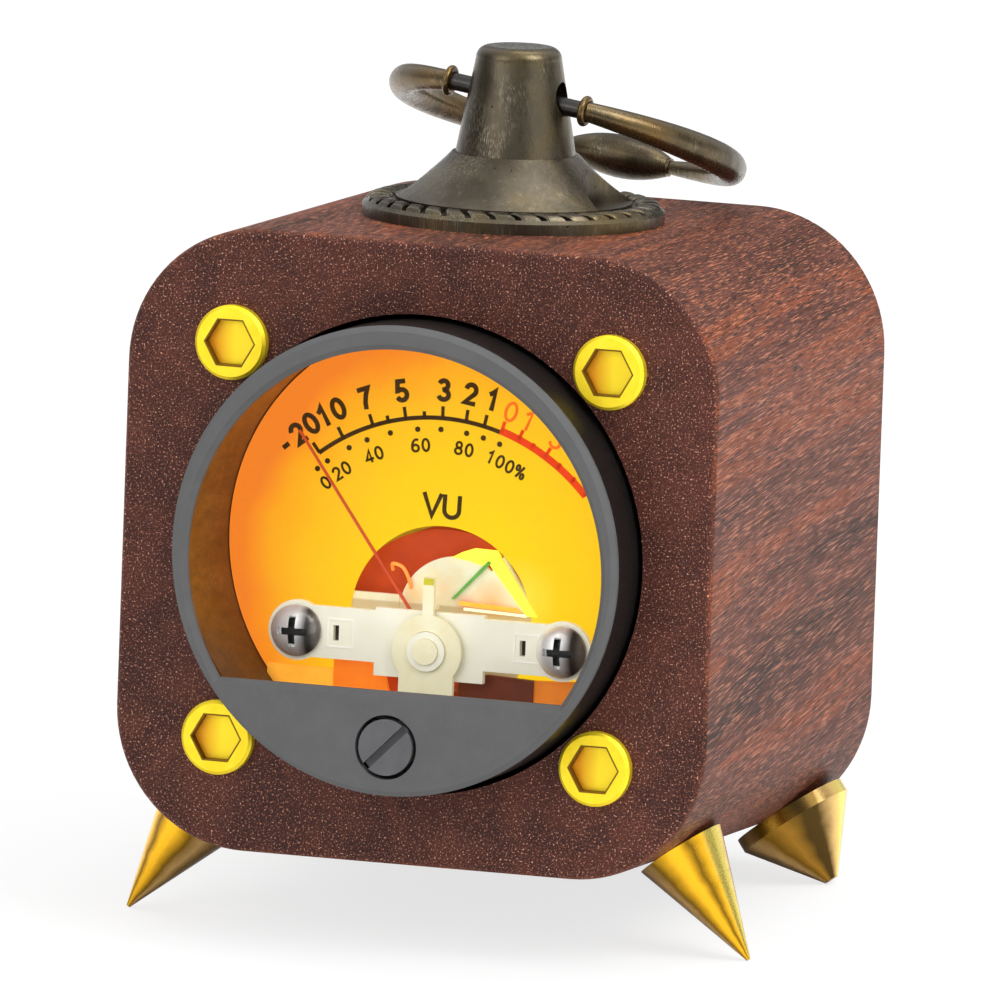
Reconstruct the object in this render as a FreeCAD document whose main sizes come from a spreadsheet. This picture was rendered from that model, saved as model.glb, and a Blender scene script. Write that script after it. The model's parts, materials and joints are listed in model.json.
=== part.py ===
import FreeCAD, Part

import math
import os
import re

import Sketcher

# Desk-top analog VU meter: a 45 mm moving-coil meter in a leaning block of wood on four spikes,
# with a bronze pull and its loose ring on top. Millimetres.
#
# Every piece is drawn in the block's own frame: x to the right, y from the front face backwards,
# z up, with the middle of the front face at the origin. Stand then leans the whole object back on
# its feet and sets the origin on the floor, midway between the tips of the four spikes.

SIZES = (
    # wood block
    ("case_side", 60), ("case_depth", 48.9), ("case_corner", 13.3), ("case_edge", 0.7),
    ("bore_gap", 0.52), ("part_gap", 0.05), ("round_gap", 0.12),
    # spike feet and their studs
    ("foot_splay", 35.5), ("front_foot_depth", 10.2), ("rear_foot_inset", 7.5),
    ("front_foot_radius", 4.45), ("front_foot_length", 12.5), ("front_foot_tip", 0.2),
    ("rear_foot_radius", 5.8), ("rear_foot_band", 1.3), ("rear_foot_length", 7.9),
    ("rear_foot_tip", 0.7),
    ("stud_radius", 2), ("stud_in_case", 4.6), ("stud_in_foot", 2.6),
    # hex-socket screws in the front corners
    ("hex_screw_across", 19.2), ("hex_screw_up", 19.05), ("hex_head_radius", 3.6),
    ("hex_head_height", 1.1), ("hex_head_edge", 0.3), ("hex_socket_width", 4.25),
    ("hex_socket_depth", 0.8), ("hex_shank_radius", 2), ("hex_shank_length", 18),
    ("hex_hole_spare", 1),
    # bronze pull
    ("pull_plate_radius", 14.55), ("pull_plate_height", 1.4),
    ("pull_plate_edge", 0.35), ("rope_radius", 14.2), ("rope_width", 2.4), ("rope_crown", 1.5),
    ("skirt_radius", 11.4), ("skirt_lip", 0.5), ("skirt_height", 4.9), ("skirt_top", 6.1),
    ("skirt_hollow", 25), ("scallop_radius", 5.2), ("scallop_reach", 12.4),
    ("post_radius", 5.8), ("post_top", 4.15), ("post_height", 10.3), ("post_round", 1.2),
    ("ring_hole_radius", 1.65), ("ring_hole_up", 5.47),
    ("pull_screw_radius", 2), ("pull_screw_head", 3.4), ("pull_screw_head_height", 2.2),
    ("pull_screw_bite", 3.1), ("pull_hole_gap", 0.15), ("washer_radius", 4.4),
    ("washer_height", 0.8), ("washer_recess", 1),
    # loose ring of the pull
    ("ring_yaw", -3.3), ("ring_tilt", 7.5), ("ring_slope", 16.85),
    ("ring_fullest_share", 0.45), ("ring_radius", 16.3), ("ring_reach", 14.65),
    ("ring_pin_radius", 0.85), ("ring_collar_radius", 1.15), ("ring_collar_round", 0.35),
    ("ring_end_thickness", 0.95), ("ring_side_thickness", 1.6), ("ring_neck_thickness", 0.65),
    ("bead_radius", 2.1), ("bead_length", 10), ("bead_end_radius", 1), ("bead_collar", 0.9),
    ("bead_collar_width", 0.6),
    # meter case
    ("meter_radius", 22.58), ("bezel_stand", 6.3), ("bezel_thickness", 1),
    ("bezel_lip", 1.58), ("opening_flare", 0.5), ("opening_drop", 0.7), ("chin_top", 12.5),
    ("window_thickness", 1), ("window_seat", 0.41), ("shell_wall", 0.93), ("shell_back", 14),
    ("cup_rim_gap", 0.15), ("cup_rim_wall", 0.8), ("cup_step", 1.1), ("cup_wall", 0.8),
    ("cup_back", 24), ("cup_floor", 1.2), ("mounting_ring_gap", 1.05),
    # zero adjuster
    ("zero_drop", 17.84), ("zero_hole_radius", 3.1), ("zero_head_radius", 2.7),
    ("zero_head_proud", 0.2), ("zero_slot_width", 0.75), ("zero_slot_depth", 0.7),
    ("zero_neck_radius", 1.5), ("zero_flange_radius", 2.3), ("zero_flange_height", 0.6),
    ("zero_pin_radius", 0.5), ("zero_pin_offset", 0.6), ("zero_slot_play", 0.1),
    ("lever_front", 4.2), ("lever_thickness", 0.5), ("lever_ring_radius", 3.5),
    ("lever_tab_width", 1.1), ("lever_tab_reach", 7.1), ("lever_fork_width", 5.5),
    ("lever_fork_end", 9.4), ("lever_slot_start", 6.5), ("lever_finger", 4),
    ("lever_finger_thickness", 0.4), ("lever_finger_back", 5.95),
    # dial and the plate behind it
    ("dial_front", 7), ("dial_thickness", 0.4), ("dial_hole_radius", 9.3),
    ("dial_hole_across", 0.3), ("dial_hole_drop", 7.3), ("plate_thickness", 0.5),
    ("plate_half_width", 11.3), ("plate_bottom", 12.4), ("plate_shoulder", 5),
    ("plate_dome_radius", 5.8), ("plate_dome_across", 1.7), ("plate_dome_drop", 6.7),
    ("plate_dome_end", 3.5), ("plate_wing_across", 6.4), ("plate_wing_drop", 0.5),
    ("plate_wing_foot", 9.4), ("plate_hole_radius", 1.2),
    # movement
    ("pivot_drop", 9.8), ("bridge_front", 4.9), ("bridge_thickness", 0.7),
    ("bridge_half_height", 2.5), ("bridge_end_radius", 2.9), ("bridge_screw_across", 13.5),
    ("bridge_screw_drop", 8.85), ("bridge_plate_half", 5.55), ("bridge_plate_top", 6.05),
    ("bridge_plate_bottom", 12.6), ("bridge_boss_radius", 1.9), ("bridge_boss_height", 1),
    ("bridge_slot_across", 9.5), ("bridge_slot_width", 0.6), ("bridge_slot_height", 1.5),
    ("bridge_screw_head", 2.5), ("bridge_screw_dome", 1.3), ("bridge_screw_rim", 0.4),
    ("bridge_screw_shank", 1.25), ("bridge_screw_length", 5), ("cross_width", 0.7),
    ("cross_length", 3), ("cross_depth", 0.9), ("post_pillar_radius", 2), ("post_dial_gap", 0.1),
    ("jewel_screw_radius", 1.25), ("jewel_fit", 0.03), ("jewel_proud", 0.2), ("jewel_back", 0.3),
    ("jewel_bore_radius", 0.2), ("jewel_bore_depth", 0.4), ("rear_jewel_length", 3.1),
    ("rear_jewel_proud", 0.5),
    ("core_front", 9.2), ("core_radius", 4.5), ("core_length", 8), ("yoke_bore", 5.9),
    ("yoke_radius", 11.2), ("core_post_radius", 0.6), ("core_post_across", 3.6),
    ("base_front", 19.6), ("base_thickness", 1.2), ("base_gap", 0.3), ("base_top", 2),
    ("base_boss_radius", 3),
    ("bobbin_clearance", 0.3), ("bobbin_side_clearance", 0.25), ("bobbin_wall", 0.25),
    ("winding_thickness", 0.5), ("coil_half_width", 1),
    ("staff_radius", 0.35), ("staff_tip_radius", 0.15), ("staff_end_gap", 0.05),
    ("collet_radius", 0.62), ("collet_front", 5.65), ("collet_length", 0.45),
    ("rear_collet_gap", 0.3),
    ("pointer_front", 6.3), ("pointer_thickness", 0.2), ("pointer_rest", 35.9),
    ("pointer_length", 24.7), ("pointer_root_width", 0.3), ("pointer_tip_width", 0.22),
    ("pointer_hub_radius", 1.1), ("pointer_root", 0.6), ("tail_width", 0.8),
    ("tail_length", 4), ("arm_width", 0.3), ("arm_length", 2.2), ("weight_radius", 0.3),
    ("weight_length", 0.8), ("stop_radius", 0.25), ("stop_reach", 3.55), ("stop_gap", 0.13),
    ("stop_length", 1.1), ("pointer_sweep", 81),
    ("spring_wire", 0.075), ("spring_start", 0.7), ("spring_pitch", 0.667), ("spring_turns", 3),
    ("spring_plane", 5.875), ("rear_spring_plane", 18.85), ("anchor_radius", 0.2),
    ("anchor_gap", 0.075),
    # lamps behind the dial
    ("lamp_board_front", 12), ("lamp_board_thickness", 1), ("lamp_board_gap", 0.1),
    ("lamp_board_inner", 12), ("lamp_board_low", 4), ("lamp_radius", 1.5), ("lamp_height", 3),
    ("lamp_side_across", 14), ("lamp_side_up", 8.5), ("lamp_top_across", 7), ("lamp_top_up", 14.5),
    ("lamp_boss_radius", 1.8), ("lamp_boss_across", 15.2), ("lamp_boss_up", 5.8),
    # terminals and driver board
    ("terminal_across", 8), ("signal_up", 5), ("lamp_up", 12), ("terminal_radius", 1),
    ("terminal_head", 1.9), ("terminal_head_height", 1.2), ("terminal_proud", 0.4),
    ("spacer_radius", 2.2), ("nut_width", 4), ("nut_height", 1.6),
    ("board_room", 5.9), ("board_thickness", 1.6), ("board_radius", 20),
    ("usb_drop", 13), ("usb_width", 8.94), ("usb_height", 3.26), ("usb_corner", 1.46),
    ("usb_length", 8),
    ("usb_wall", 0.35), ("usb_well", 6.2), ("usb_tongue_width", 6.7),
    ("usb_tongue_height", 0.7), ("usb_tongue_length", 4.8),
    ("microphone_across", 13), ("microphone_drop", 4), ("microphone_radius", 3),
    ("microphone_height", 5), ("microphone_port", 0.6),
    ("trimmer_across", 13), ("trimmer_drop", 4), ("trimmer_side", 6.6), ("trimmer_height", 4.6),
    ("rotor_radius", 1.8), ("rotor_depth", 1.2), ("rotor_clearance", 0.08),
    ("rotor_slot_width", 0.6), ("rotor_slot_length", 2.5), ("rotor_slot_depth", 0.5),
    ("chip_width", 5), ("chip_length", 4), ("chip_height", 1.5), ("chip_up", 3),
    ("capacitor_radius", 2.5), ("capacitor_height", 5), ("capacitor_across", 5),
    ("capacitor_drop", 5),
    # rear cover
    ("cover_side", 50), ("cover_corner", 8), ("cover_thickness", 3), ("cover_gap", 0.15),
    ("cover_edge", 0.45),
    ("cover_screw_across", 19.5), ("cover_screw_radius", 1.3), ("cover_screw_head", 2.6),
    ("cover_screw_cone", 1.3), ("cover_screw_length", 10), ("usb_cut_gap", 0.25),
    ("trimmer_port", 2), ("sound_port", 0.9),
)

os.makedirs("parts", exist_ok=True)
V = FreeCAD.Vector
doc = FreeCAD.newDocument("AnalogVuMeter")
sheet = doc.addObject("Spreadsheet::Sheet", "Sizes")
for row, (alias, size) in enumerate(SIZES, 1):
    sheet.set("A%d" % row, str(size))
    sheet.setAlias("A%d" % row, alias)
doc.recompute()


def bound(text):
    """The expression with each size's name led by the sheet's."""
    return re.sub(r"[a-z]+(_[a-z]+)+", lambda name: "Sizes." + name.group(), str(text))


def value(text):
    """What an expression of sizes comes to now."""
    answer = sheet.evalExpression(bound(text))
    return float(getattr(answer, "Value", answer))


# Places that several pieces share.
CORNER_CENTRE = "(case_side / 2 - case_corner)"
BORE = "(meter_radius + bore_gap)"
FRONT_DROP = (f"({CORNER_CENTRE} + (case_corner + front_foot_length) * cos(foot_splay)"
              " + front_foot_tip * sin(foot_splay))")
REAR_DROP = (f"({CORNER_CENTRE} + (case_corner + rear_foot_length) * cos(foot_splay)"
             " + rear_foot_tip * sin(foot_splay))")
REAR_FOOT = "(case_depth - rear_foot_inset)"
PULL_DEPTH = "(case_depth / 2)"
LEAN = f"atan(({FRONT_DROP} - {REAR_DROP}) / ({REAR_FOOT} - front_foot_depth))"
BEZEL_BACK = "(bezel_thickness - bezel_stand)"
WINDOW_BACK = f"({BEZEL_BACK} + window_thickness)"
DIAL_BACK = "(dial_front + dial_thickness)"
BRIDGE_BACK = "(bridge_front + bridge_thickness)"
CORE_BACK = "(core_front + core_length)"
BOBBIN_FRONT = "(core_front - bobbin_clearance - bobbin_wall)"
BOBBIN_BACK = f"({CORE_BACK} + bobbin_clearance + bobbin_wall)"
COIL_FRONT = f"({BOBBIN_FRONT} - winding_thickness)"
COIL_BACK = f"({BOBBIN_BACK} + winding_thickness)"
BASE_BACK = "(base_front + base_thickness)"
CUP_INSIDE = "(cup_back - cup_floor)"
CUP_RIM = "(meter_radius - shell_wall - cup_rim_gap)"
CUP_RADIUS = f"({CUP_RIM} - cup_step)"
BASE_RADIUS = f"({CUP_RADIUS} - cup_wall - base_gap)"
LAMP_BOARD = f"({CUP_RADIUS} - cup_wall - lamp_board_gap)"
WINDOW_RADIUS = "(meter_radius - window_seat - round_gap)"
OPENING = "(meter_radius - bezel_lip)"
COVER_FRONT = "(case_depth - cover_thickness)"
BOARD_BACK = f"({COVER_FRONT} - board_room)"
BOARD_FRONT = f"({BOARD_BACK} - board_thickness)"
TERMINAL_END = f"({BOARD_BACK} + nut_height + terminal_proud)"
PULL_FLOOR = "(case_side / 2)"
SKIRT_FLOOR = f"({PULL_FLOOR} + pull_plate_height)"
POST_FLOOR = f"({SKIRT_FLOOR} + skirt_height)"
WASHER_TOP = f"({BORE} + washer_recess)"
RING_UP = f"({POST_FLOOR} + ring_hole_up)"

stand = doc.addObject("App::Placement", "Stand")
stand.setExpression("Placement", bound(
    f"placement(vector(0; ({FRONT_DROP} + {REAR_DROP}) / 2 * sin({LEAN})"
    f" - (front_foot_depth + {REAR_FOOT}) / 2 * cos({LEAN});"
    f" front_foot_depth * sin({LEAN}) + {FRONT_DROP} * cos({LEAN}));"
    f" rotation(vector(1; 0; 0); -{LEAN}))"))
doc.recompute()


def spot(x=0, y=0, z=0, turn=None):
    """A place in the block's frame, with an optional turn such as "0; 1; 0); 90" about it."""
    return f"placement(vector({x}; {y}; {z}); rotation(vector({turn or '0; 0; 1); 0'}))"


BACKWARDS = "1; 0; 0); -90"
FORWARDS = "1; 0; 0); 90"
PIVOT = spot(z="-pivot_drop")
NEEDLE = spot(z="-pivot_drop", turn="0; 1; 0); -pointer_rest")

nodes = []


def place(piece, where):
    piece.setExpression("Placement", bound("Stand.Placement * " + where))


def body(label, where=spot(), keep=True):
    """A new body at its place in the block; keep says that it is a sub-part of its own."""
    piece = doc.addObject("PartDesign::Body", label)
    piece.Label = label
    if keep:
        place(piece, where)
        nodes.append(piece)
    return piece


def sketch(piece, role, depth=None):
    """A sketch on the body's front (XZ), side (YZ) or top (XY) plane, set back by depth."""
    flat = next(f for f in piece.Origin.OriginFeatures if f.Role == role)
    drawing = piece.newObject("Sketcher::SketchObject", piece.Label + "_sketch")
    drawing.AttachmentSupport = [(flat, "")]
    drawing.MapMode = "FlatFace"
    if depth is not None:
        drawing.setExpression("AttachmentOffset.Base.z", bound(f"-({depth})"))
    return drawing


def fix(drawing, kind, *link, size):
    """A constraint whose size is an expression."""
    index = drawing.addConstraint(Sketcher.Constraint(kind, *link, value(size)))
    drawing.setExpression("Constraints[%d]" % index, bound(size))


def circle(drawing, x, y, radius):
    index = drawing.addGeometry(
        Part.Circle(V(value(x), value(y), 0), V(0, 0, 1), value(radius)), False)
    fix(drawing, "DistanceX", -1, 1, index, 3, size=x)
    fix(drawing, "DistanceY", -1, 1, index, 3, size=y)
    fix(drawing, "Radius", index, size=radius)


def bow(start, end, radius):
    """An arc from start to end: its centre is on the left of the way for a radius over 0."""
    chord = end - start
    side = V(-chord.y, chord.x, 0)
    side.normalize()
    reach = math.sqrt(max(radius ** 2 - (chord.Length / 2) ** 2, 0))
    middle = (start + end) / 2 + side * math.copysign(reach, radius)
    ends = (start, end) if radius > 0 else (end, start)
    angles = [math.atan2(p.y - middle.y, p.x - middle.x) for p in ends]
    return Part.ArcOfCircle(Part.Circle(middle, V(0, 0, 1), abs(radius)), *angles)


def outline(drawing, points):
    """A closed outline through the points; a third entry is the radius of the side that follows."""
    spots = [V(value(p[0]), value(p[1]), 0) for p in points]
    first = drawing.GeometryCount
    tips = []
    for index, point in enumerate(points):
        start, end = spots[index], spots[(index + 1) % len(points)]
        if len(point) == 2:
            drawing.addGeometry(Part.LineSegment(start, end), False)
            tips.append((1, 2))
        else:
            drawing.addGeometry(bow(start, end, value(point[2])), False)
            tips.append((1, 2) if value(point[2]) > 0 else (2, 1))
    for index, point in enumerate(points):
        after = (index + 1) % len(points)
        drawing.addConstraint(Sketcher.Constraint(
            "Coincident", first + index, tips[index][1], first + after, tips[after][0]))
        fix(drawing, "DistanceX", -1, 1, first + index, tips[index][0], size=point[0])
        fix(drawing, "DistanceY", -1, 1, first + index, tips[index][0], size=point[1])
        if len(point) == 3:
            fix(drawing, "Radius", first + index, size=f"abs({point[2]})")


def block(half_x, half_y, x="0", y="0"):
    """The corners of a rectangle about a middle."""
    return [(f"{x} {sx} {half_x}", f"{y} {sy} {half_y}")
            for sx, sy in (("-", "-"), ("+", "-"), ("+", "+"), ("-", "+"))]


def rounded(half_x, half_y, corner, x="0", y="0"):
    """The points of a rectangle with round corners about a middle."""
    points = []
    for sx, sy, long_first in (("+", "-", True), ("+", "+", False), ("-", "+", True),
                               ("-", "-", False)):
        near = (f"{x} {sx} ({half_x} - {corner})", f"{y} {sy} {half_y}")
        far = (f"{x} {sx} {half_x}", f"{y} {sy} ({half_y} - {corner})")
        start, end = (near, far) if long_first else (far, near)
        points += [(*start, corner), end]
    return points


def regular(width, sides=6):
    """The corners of a regular polygon with this width across its flats."""
    return [(f"{width} / 2 / cos(180 / {sides}) * cos({k * 360 / sides})",
             f"{width} / 2 / cos(180 / {sides}) * sin({k * 360 / sides})") for k in range(sides)]


def revolve(piece, role, points):
    """Turn an outline about the drawing's upright axis."""
    drawing = sketch(piece, role)
    outline(drawing, points)
    feature = piece.newObject("PartDesign::Revolution", piece.Label + "_turned")
    feature.Profile = drawing
    feature.ReferenceAxis = (drawing, ["V_Axis"])
    feature.Angle = 360
    return feature


def turned(label, where, points, upright=False, keep=True):
    """A turned piece: points are (radius, depth), or (radius, height) if it stands upright."""
    piece = body(label, where, keep)
    revolve(piece, "XZ_Plane" if upright else "XY_Plane", points)
    return piece


def pad(piece, drawing, thickness):
    """Extrude a front-plane drawing backwards."""
    feature = piece.newObject("PartDesign::Pad", piece.Label + "_pad")
    feature.Profile = drawing
    feature.Reversed = True
    feature.setExpression("Length", bound(thickness))
    doc.recompute()
    return feature


def pocket(piece, drawing, depth, forwards=False):
    """Cut a front-plane drawing backwards from its plane, or forwards."""
    doc.recompute()
    before = piece.Shape.Volume
    feature = piece.newObject("PartDesign::Pocket", piece.Label + "_pocket")
    feature.Profile = drawing
    feature.Reversed = forwards
    feature.setExpression("Length", bound(depth))
    doc.recompute()
    if piece.Shape.Volume > before - 1e-6:
        raise ValueError("a pocket cut nothing in " + piece.Label)
    return feature


def plate(label, front, thickness, points=(), circles=(), where=spot()):
    """A flat piece across the block, with its front face at a depth."""
    piece = body(label, where)
    drawing = sketch(piece, "XZ_Plane", front)
    if points:
        outline(drawing, points)
    for ring in circles:
        circle(drawing, *ring)
    pad(piece, drawing, thickness)
    return piece


def bore(piece, where, radius, length, top=None):
    """A round hole, or a conical one that widens to top, from a place along its own axis."""
    doc.recompute()
    before = piece.Shape.Volume
    kind = "PartDesign::SubtractiveCylinder" if top is None else "PartDesign::SubtractiveCone"
    cutter = piece.newObject(kind, piece.Label + "_bore")
    cutter.setExpression("Radius" if top is None else "Radius1", bound(radius))
    if top is not None:
        cutter.setExpression("Radius2", bound(top))
    cutter.setExpression("Height", bound(length))
    cutter.setExpression("Placement", bound(where))
    doc.recompute()
    if piece.Shape.Volume > before - 1e-6:
        raise ValueError("a bore cut nothing in " + piece.Label)


def edges(shape, wanted):
    return ["Edge%d" % n for n, edge in enumerate(shape.Edges, 1) if wanted(edge)]


def soften(piece, kind, size, wanted):
    """A fillet or chamfer on the edges of the body that are wanted."""
    doc.recompute()
    base = piece.Tip
    names = edges(piece.Tip.Shape, wanted)
    feature = piece.newObject("PartDesign::" + kind, piece.Label + "_" + kind.lower())
    feature.Base = (base, names)
    feature.setExpression("Radius" if kind == "Fillet" else "Size", bound(size))
    doc.recompute()


def group(label, master, places):
    """Copies of one fastener in a node of their own."""
    copies = []
    for number, where in enumerate(places, 1):
        copy = doc.addObject("App::Link", f"{label}_{number}")
        copy.LinkedObject = master
        place(copy, where)
        copies.append(copy)
    node = doc.addObject("Part::Compound", label)
    node.Label = label
    node.Links = copies
    nodes.append(node)
    return node


def corners(across, up, y=0):
    """Places at the four corners of a rectangle about the middle of the front."""
    return [spot(f"{sx}({across})", y, f"{sz}({up})") for sx in ("", "-") for sz in ("", "-")]


def flat_at(depth):
    """A test for edges that lie all in one plane across the block."""
    level = value(depth)
    near = 1e-4

    def flat(edge):
        middle = edge.valueAt((edge.FirstParameter + edge.LastParameter) / 2)
        return all(abs(y - level) < near for y in [v.Y for v in edge.Vertexes] + [middle.y])

    return flat


# Wood block

def foot_spot(side, depth, outwards="case_corner"):
    """A place on a corner of the block, with its axis pointing out along the spike."""
    return spot(f"{side}({CORNER_CENTRE} + {outwards} * sin(foot_splay))", depth,
                f"-({CORNER_CENTRE} + {outwards} * cos(foot_splay))",
                f"0; 1; 0); {side}(180 - foot_splay)")


FEET = [(side, depth) for depth in ("front_foot_depth", REAR_FOOT) for side in ("", "-")]


def case_block():
    piece = body("case_block")
    face = sketch(piece, "XZ_Plane", "0")
    outline(face, rounded("case_side / 2", "case_side / 2", "case_corner"))
    pad(piece, face, "case_depth")
    soften(piece, "Fillet", "case_edge",
           lambda edge: flat_at("0")(edge) or flat_at("case_depth")(edge))
    hole = sketch(piece, "XZ_Plane", "0")
    circle(hole, "0", "0", BORE)
    pocket(piece, hole, "case_depth")
    recess = sketch(piece, "XZ_Plane", COVER_FRONT)
    half = "(cover_side / 2 + cover_gap)"
    outline(recess, rounded(half, half, "(cover_corner + cover_gap)"))
    pocket(piece, recess, "cover_thickness")
    for sx in ("", "-"):
        for sz in ("", "-"):
            bore(piece, spot(f"{sx}hex_screw_across", "0", f"{sz}hex_screw_up", BACKWARDS),
                 "hex_shank_radius + part_gap", "hex_shank_length + hex_hole_spare")
            bore(piece, spot(f"{sx}cover_screw_across", COVER_FRONT, f"{sz}cover_screw_across",
                             FORWARDS),
                 "cover_screw_radius + part_gap", "cover_screw_length - cover_thickness + part_gap")
    for side, depth in FEET:
        bore(piece, foot_spot(side, depth, "(case_corner - stud_in_case - part_gap)"),
             "stud_radius + part_gap", "stud_in_case + case_corner / 2")
    bore(piece, spot("0", PULL_DEPTH, "0"), "washer_radius + pull_hole_gap", WASHER_TOP)
    bore(piece, spot("0", PULL_DEPTH, "0"), "pull_screw_radius + pull_hole_gap",
         f"{PULL_FLOOR} + case_edge")
    return piece


def feet():
    for side, depth, label in (("-", "front_foot_depth", "front_left_foot"),
                               ("", "front_foot_depth", "front_right_foot")):
        piece = turned(label, foot_spot(side, depth), [
            ("0", "0"), ("front_foot_radius", "0"),
            ("front_foot_tip", "front_foot_length"), ("0", "front_foot_length")], upright=True)
        bore(piece, spot(), "stud_radius + part_gap", "stud_in_foot + part_gap")
    for side, label in (("-", "rear_left_foot"), ("", "rear_right_foot")):
        piece = turned(label, foot_spot(side, REAR_FOOT), [
            ("0", "0"), ("rear_foot_radius", "0"), ("rear_foot_radius", "rear_foot_band"),
            ("rear_foot_tip", "rear_foot_length"), ("0", "rear_foot_length")], upright=True)
        bore(piece, spot(), "stud_radius + part_gap", "stud_in_foot + part_gap")
    stud = turned("foot_stud", spot(), [
        ("0", "-stud_in_case"), ("stud_radius", "-stud_in_case"), ("stud_radius", "stud_in_foot"),
        ("0", "stud_in_foot")], upright=True, keep=False)
    group("foot_studs", stud, [foot_spot(side, depth) for side, depth in FEET])


def front_hex_screws():
    screw = turned("front_hex_screw", spot(), [
        ("0", "-hex_head_height"), ("hex_head_radius - hex_head_edge", "-hex_head_height"),
        ("hex_head_radius", "hex_head_edge - hex_head_height"), ("hex_head_radius", "0"),
        ("hex_shank_radius", "0"), ("hex_shank_radius", "hex_shank_length"),
        ("0", "hex_shank_length")], keep=False)
    socket = sketch(screw, "XZ_Plane", "-hex_head_height")
    outline(socket, regular("hex_socket_width"))
    pocket(screw, socket, "hex_socket_depth")
    group("front_hex_screws", screw, corners("hex_screw_across", "hex_screw_up"))


def cross(piece, depth, width, length, cut, forwards=False):
    """A cross recess cut into a screw's face."""
    for half_x, half_y in ((f"{width} / 2", f"{length} / 2"), (f"{length} / 2", f"{width} / 2")):
        slot = sketch(piece, "XZ_Plane", depth)
        outline(slot, block(half_x, half_y))
        pocket(piece, slot, cut, forwards)


# Rear cover

def rear_cover():
    piece = plate("rear_cover", COVER_FRONT, "cover_thickness",
                  rounded("cover_side / 2", "cover_side / 2", "cover_corner"))
    soften(piece, "Chamfer", "cover_edge", flat_at("case_depth"))
    for sx in ("", "-"):
        for sz in ("", "-"):
            at = spot(f"{sx}cover_screw_across", "case_depth", f"{sz}cover_screw_across", FORWARDS)
            bore(piece, at, "cover_screw_radius + part_gap", "cover_thickness")
            cone = spot(f"{sx}cover_screw_across", "case_depth - cover_screw_cone",
                        f"{sz}cover_screw_across", BACKWARDS)
            bore(piece, cone, "cover_screw_radius + part_gap", "cover_screw_cone",
                 "cover_screw_head + part_gap")
    socket = sketch(piece, "XZ_Plane", COVER_FRONT)
    outline(socket, rounded("(usb_width / 2 + usb_cut_gap)", "(usb_height / 2 + usb_cut_gap)",
                            "(usb_corner + usb_cut_gap)", y="-usb_drop"))
    pocket(piece, socket, "cover_thickness")
    bore(piece, spot("trimmer_across", COVER_FRONT, "-trimmer_drop", BACKWARDS),
         "trimmer_port", "cover_thickness")
    bore(piece, spot("-microphone_across", COVER_FRONT, "-microphone_drop", BACKWARDS),
         "sound_port", "cover_thickness")
    screw = turned("rear_cover_screw", spot(), [
        ("0", "0"), ("cover_screw_head", "0"), ("cover_screw_radius", "-cover_screw_cone"),
        ("cover_screw_radius", "-cover_screw_length"), ("0", "-cover_screw_length")], keep=False)
    cross(screw, "0", "cross_width", "cross_length", "cross_depth", forwards=True)
    group("rear_cover_screws", screw,
          corners("cover_screw_across", "cover_screw_across", "case_depth"))


# Bronze pull

def pull():
    here = spot(y=PULL_DEPTH)
    hole = "(pull_screw_radius + pull_hole_gap)"
    turned("pull_base_plate", here, [
        (hole, PULL_FLOOR), ("pull_plate_radius", PULL_FLOOR),
        ("pull_plate_radius", f"{SKIRT_FLOOR} - pull_plate_edge"),
        ("pull_plate_radius - pull_plate_edge", SKIRT_FLOOR), (hole, SKIRT_FLOOR)], upright=True)
    turned("pull_rope_border", here, [
        ("rope_radius - rope_width", SKIRT_FLOOR), ("rope_radius", SKIRT_FLOOR, "rope_crown")],
        upright=True)
    skirt = turned("pull_skirt", here, [
        (hole, SKIRT_FLOOR), ("skirt_radius", SKIRT_FLOOR),
        ("skirt_radius", f"{SKIRT_FLOOR} + skirt_lip", "-skirt_hollow"),
        ("skirt_top", POST_FLOOR), (hole, POST_FLOOR)], upright=True)
    for side in ("", "-"):
        bore(skirt, spot(f"{side}scallop_reach", "0", f"{SKIRT_FLOOR} + skirt_lip"),
             "scallop_radius", "skirt_height")
    top = f"({POST_FLOOR} + post_height)"
    post = turned("pull_post", here, [
        ("pull_screw_radius + part_gap", POST_FLOOR), ("post_radius", POST_FLOOR),
        ("post_top", f"{top} - post_round", "post_round"), ("post_top - post_round", top),
        ("0", top), ("0", f"{POST_FLOOR} + pull_screw_bite + pull_hole_gap"),
        ("pull_screw_radius + part_gap", f"{POST_FLOOR} + pull_screw_bite + pull_hole_gap")],
        upright=True)
    bore(post, spot("-post_radius", "0", RING_UP, "0; 1; 0); 90"), "ring_hole_radius",
         "2 * post_radius")
    washer_floor = f"({WASHER_TOP} - washer_height)"
    turned("pull_washer", here, [
        (hole, washer_floor), ("washer_radius", washer_floor), ("washer_radius", WASHER_TOP),
        (hole, WASHER_TOP)], upright=True)
    head_floor = f"({washer_floor} - pull_screw_head_height)"
    screw = turned("pull_screw", here, [
        ("0", head_floor), ("pull_screw_head", head_floor), ("pull_screw_head", washer_floor),
        ("pull_screw_radius", washer_floor),
        ("pull_screw_radius", f"{POST_FLOOR} + pull_screw_bite"),
        ("0", f"{POST_FLOOR} + pull_screw_bite")], upright=True)
    return screw


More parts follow.
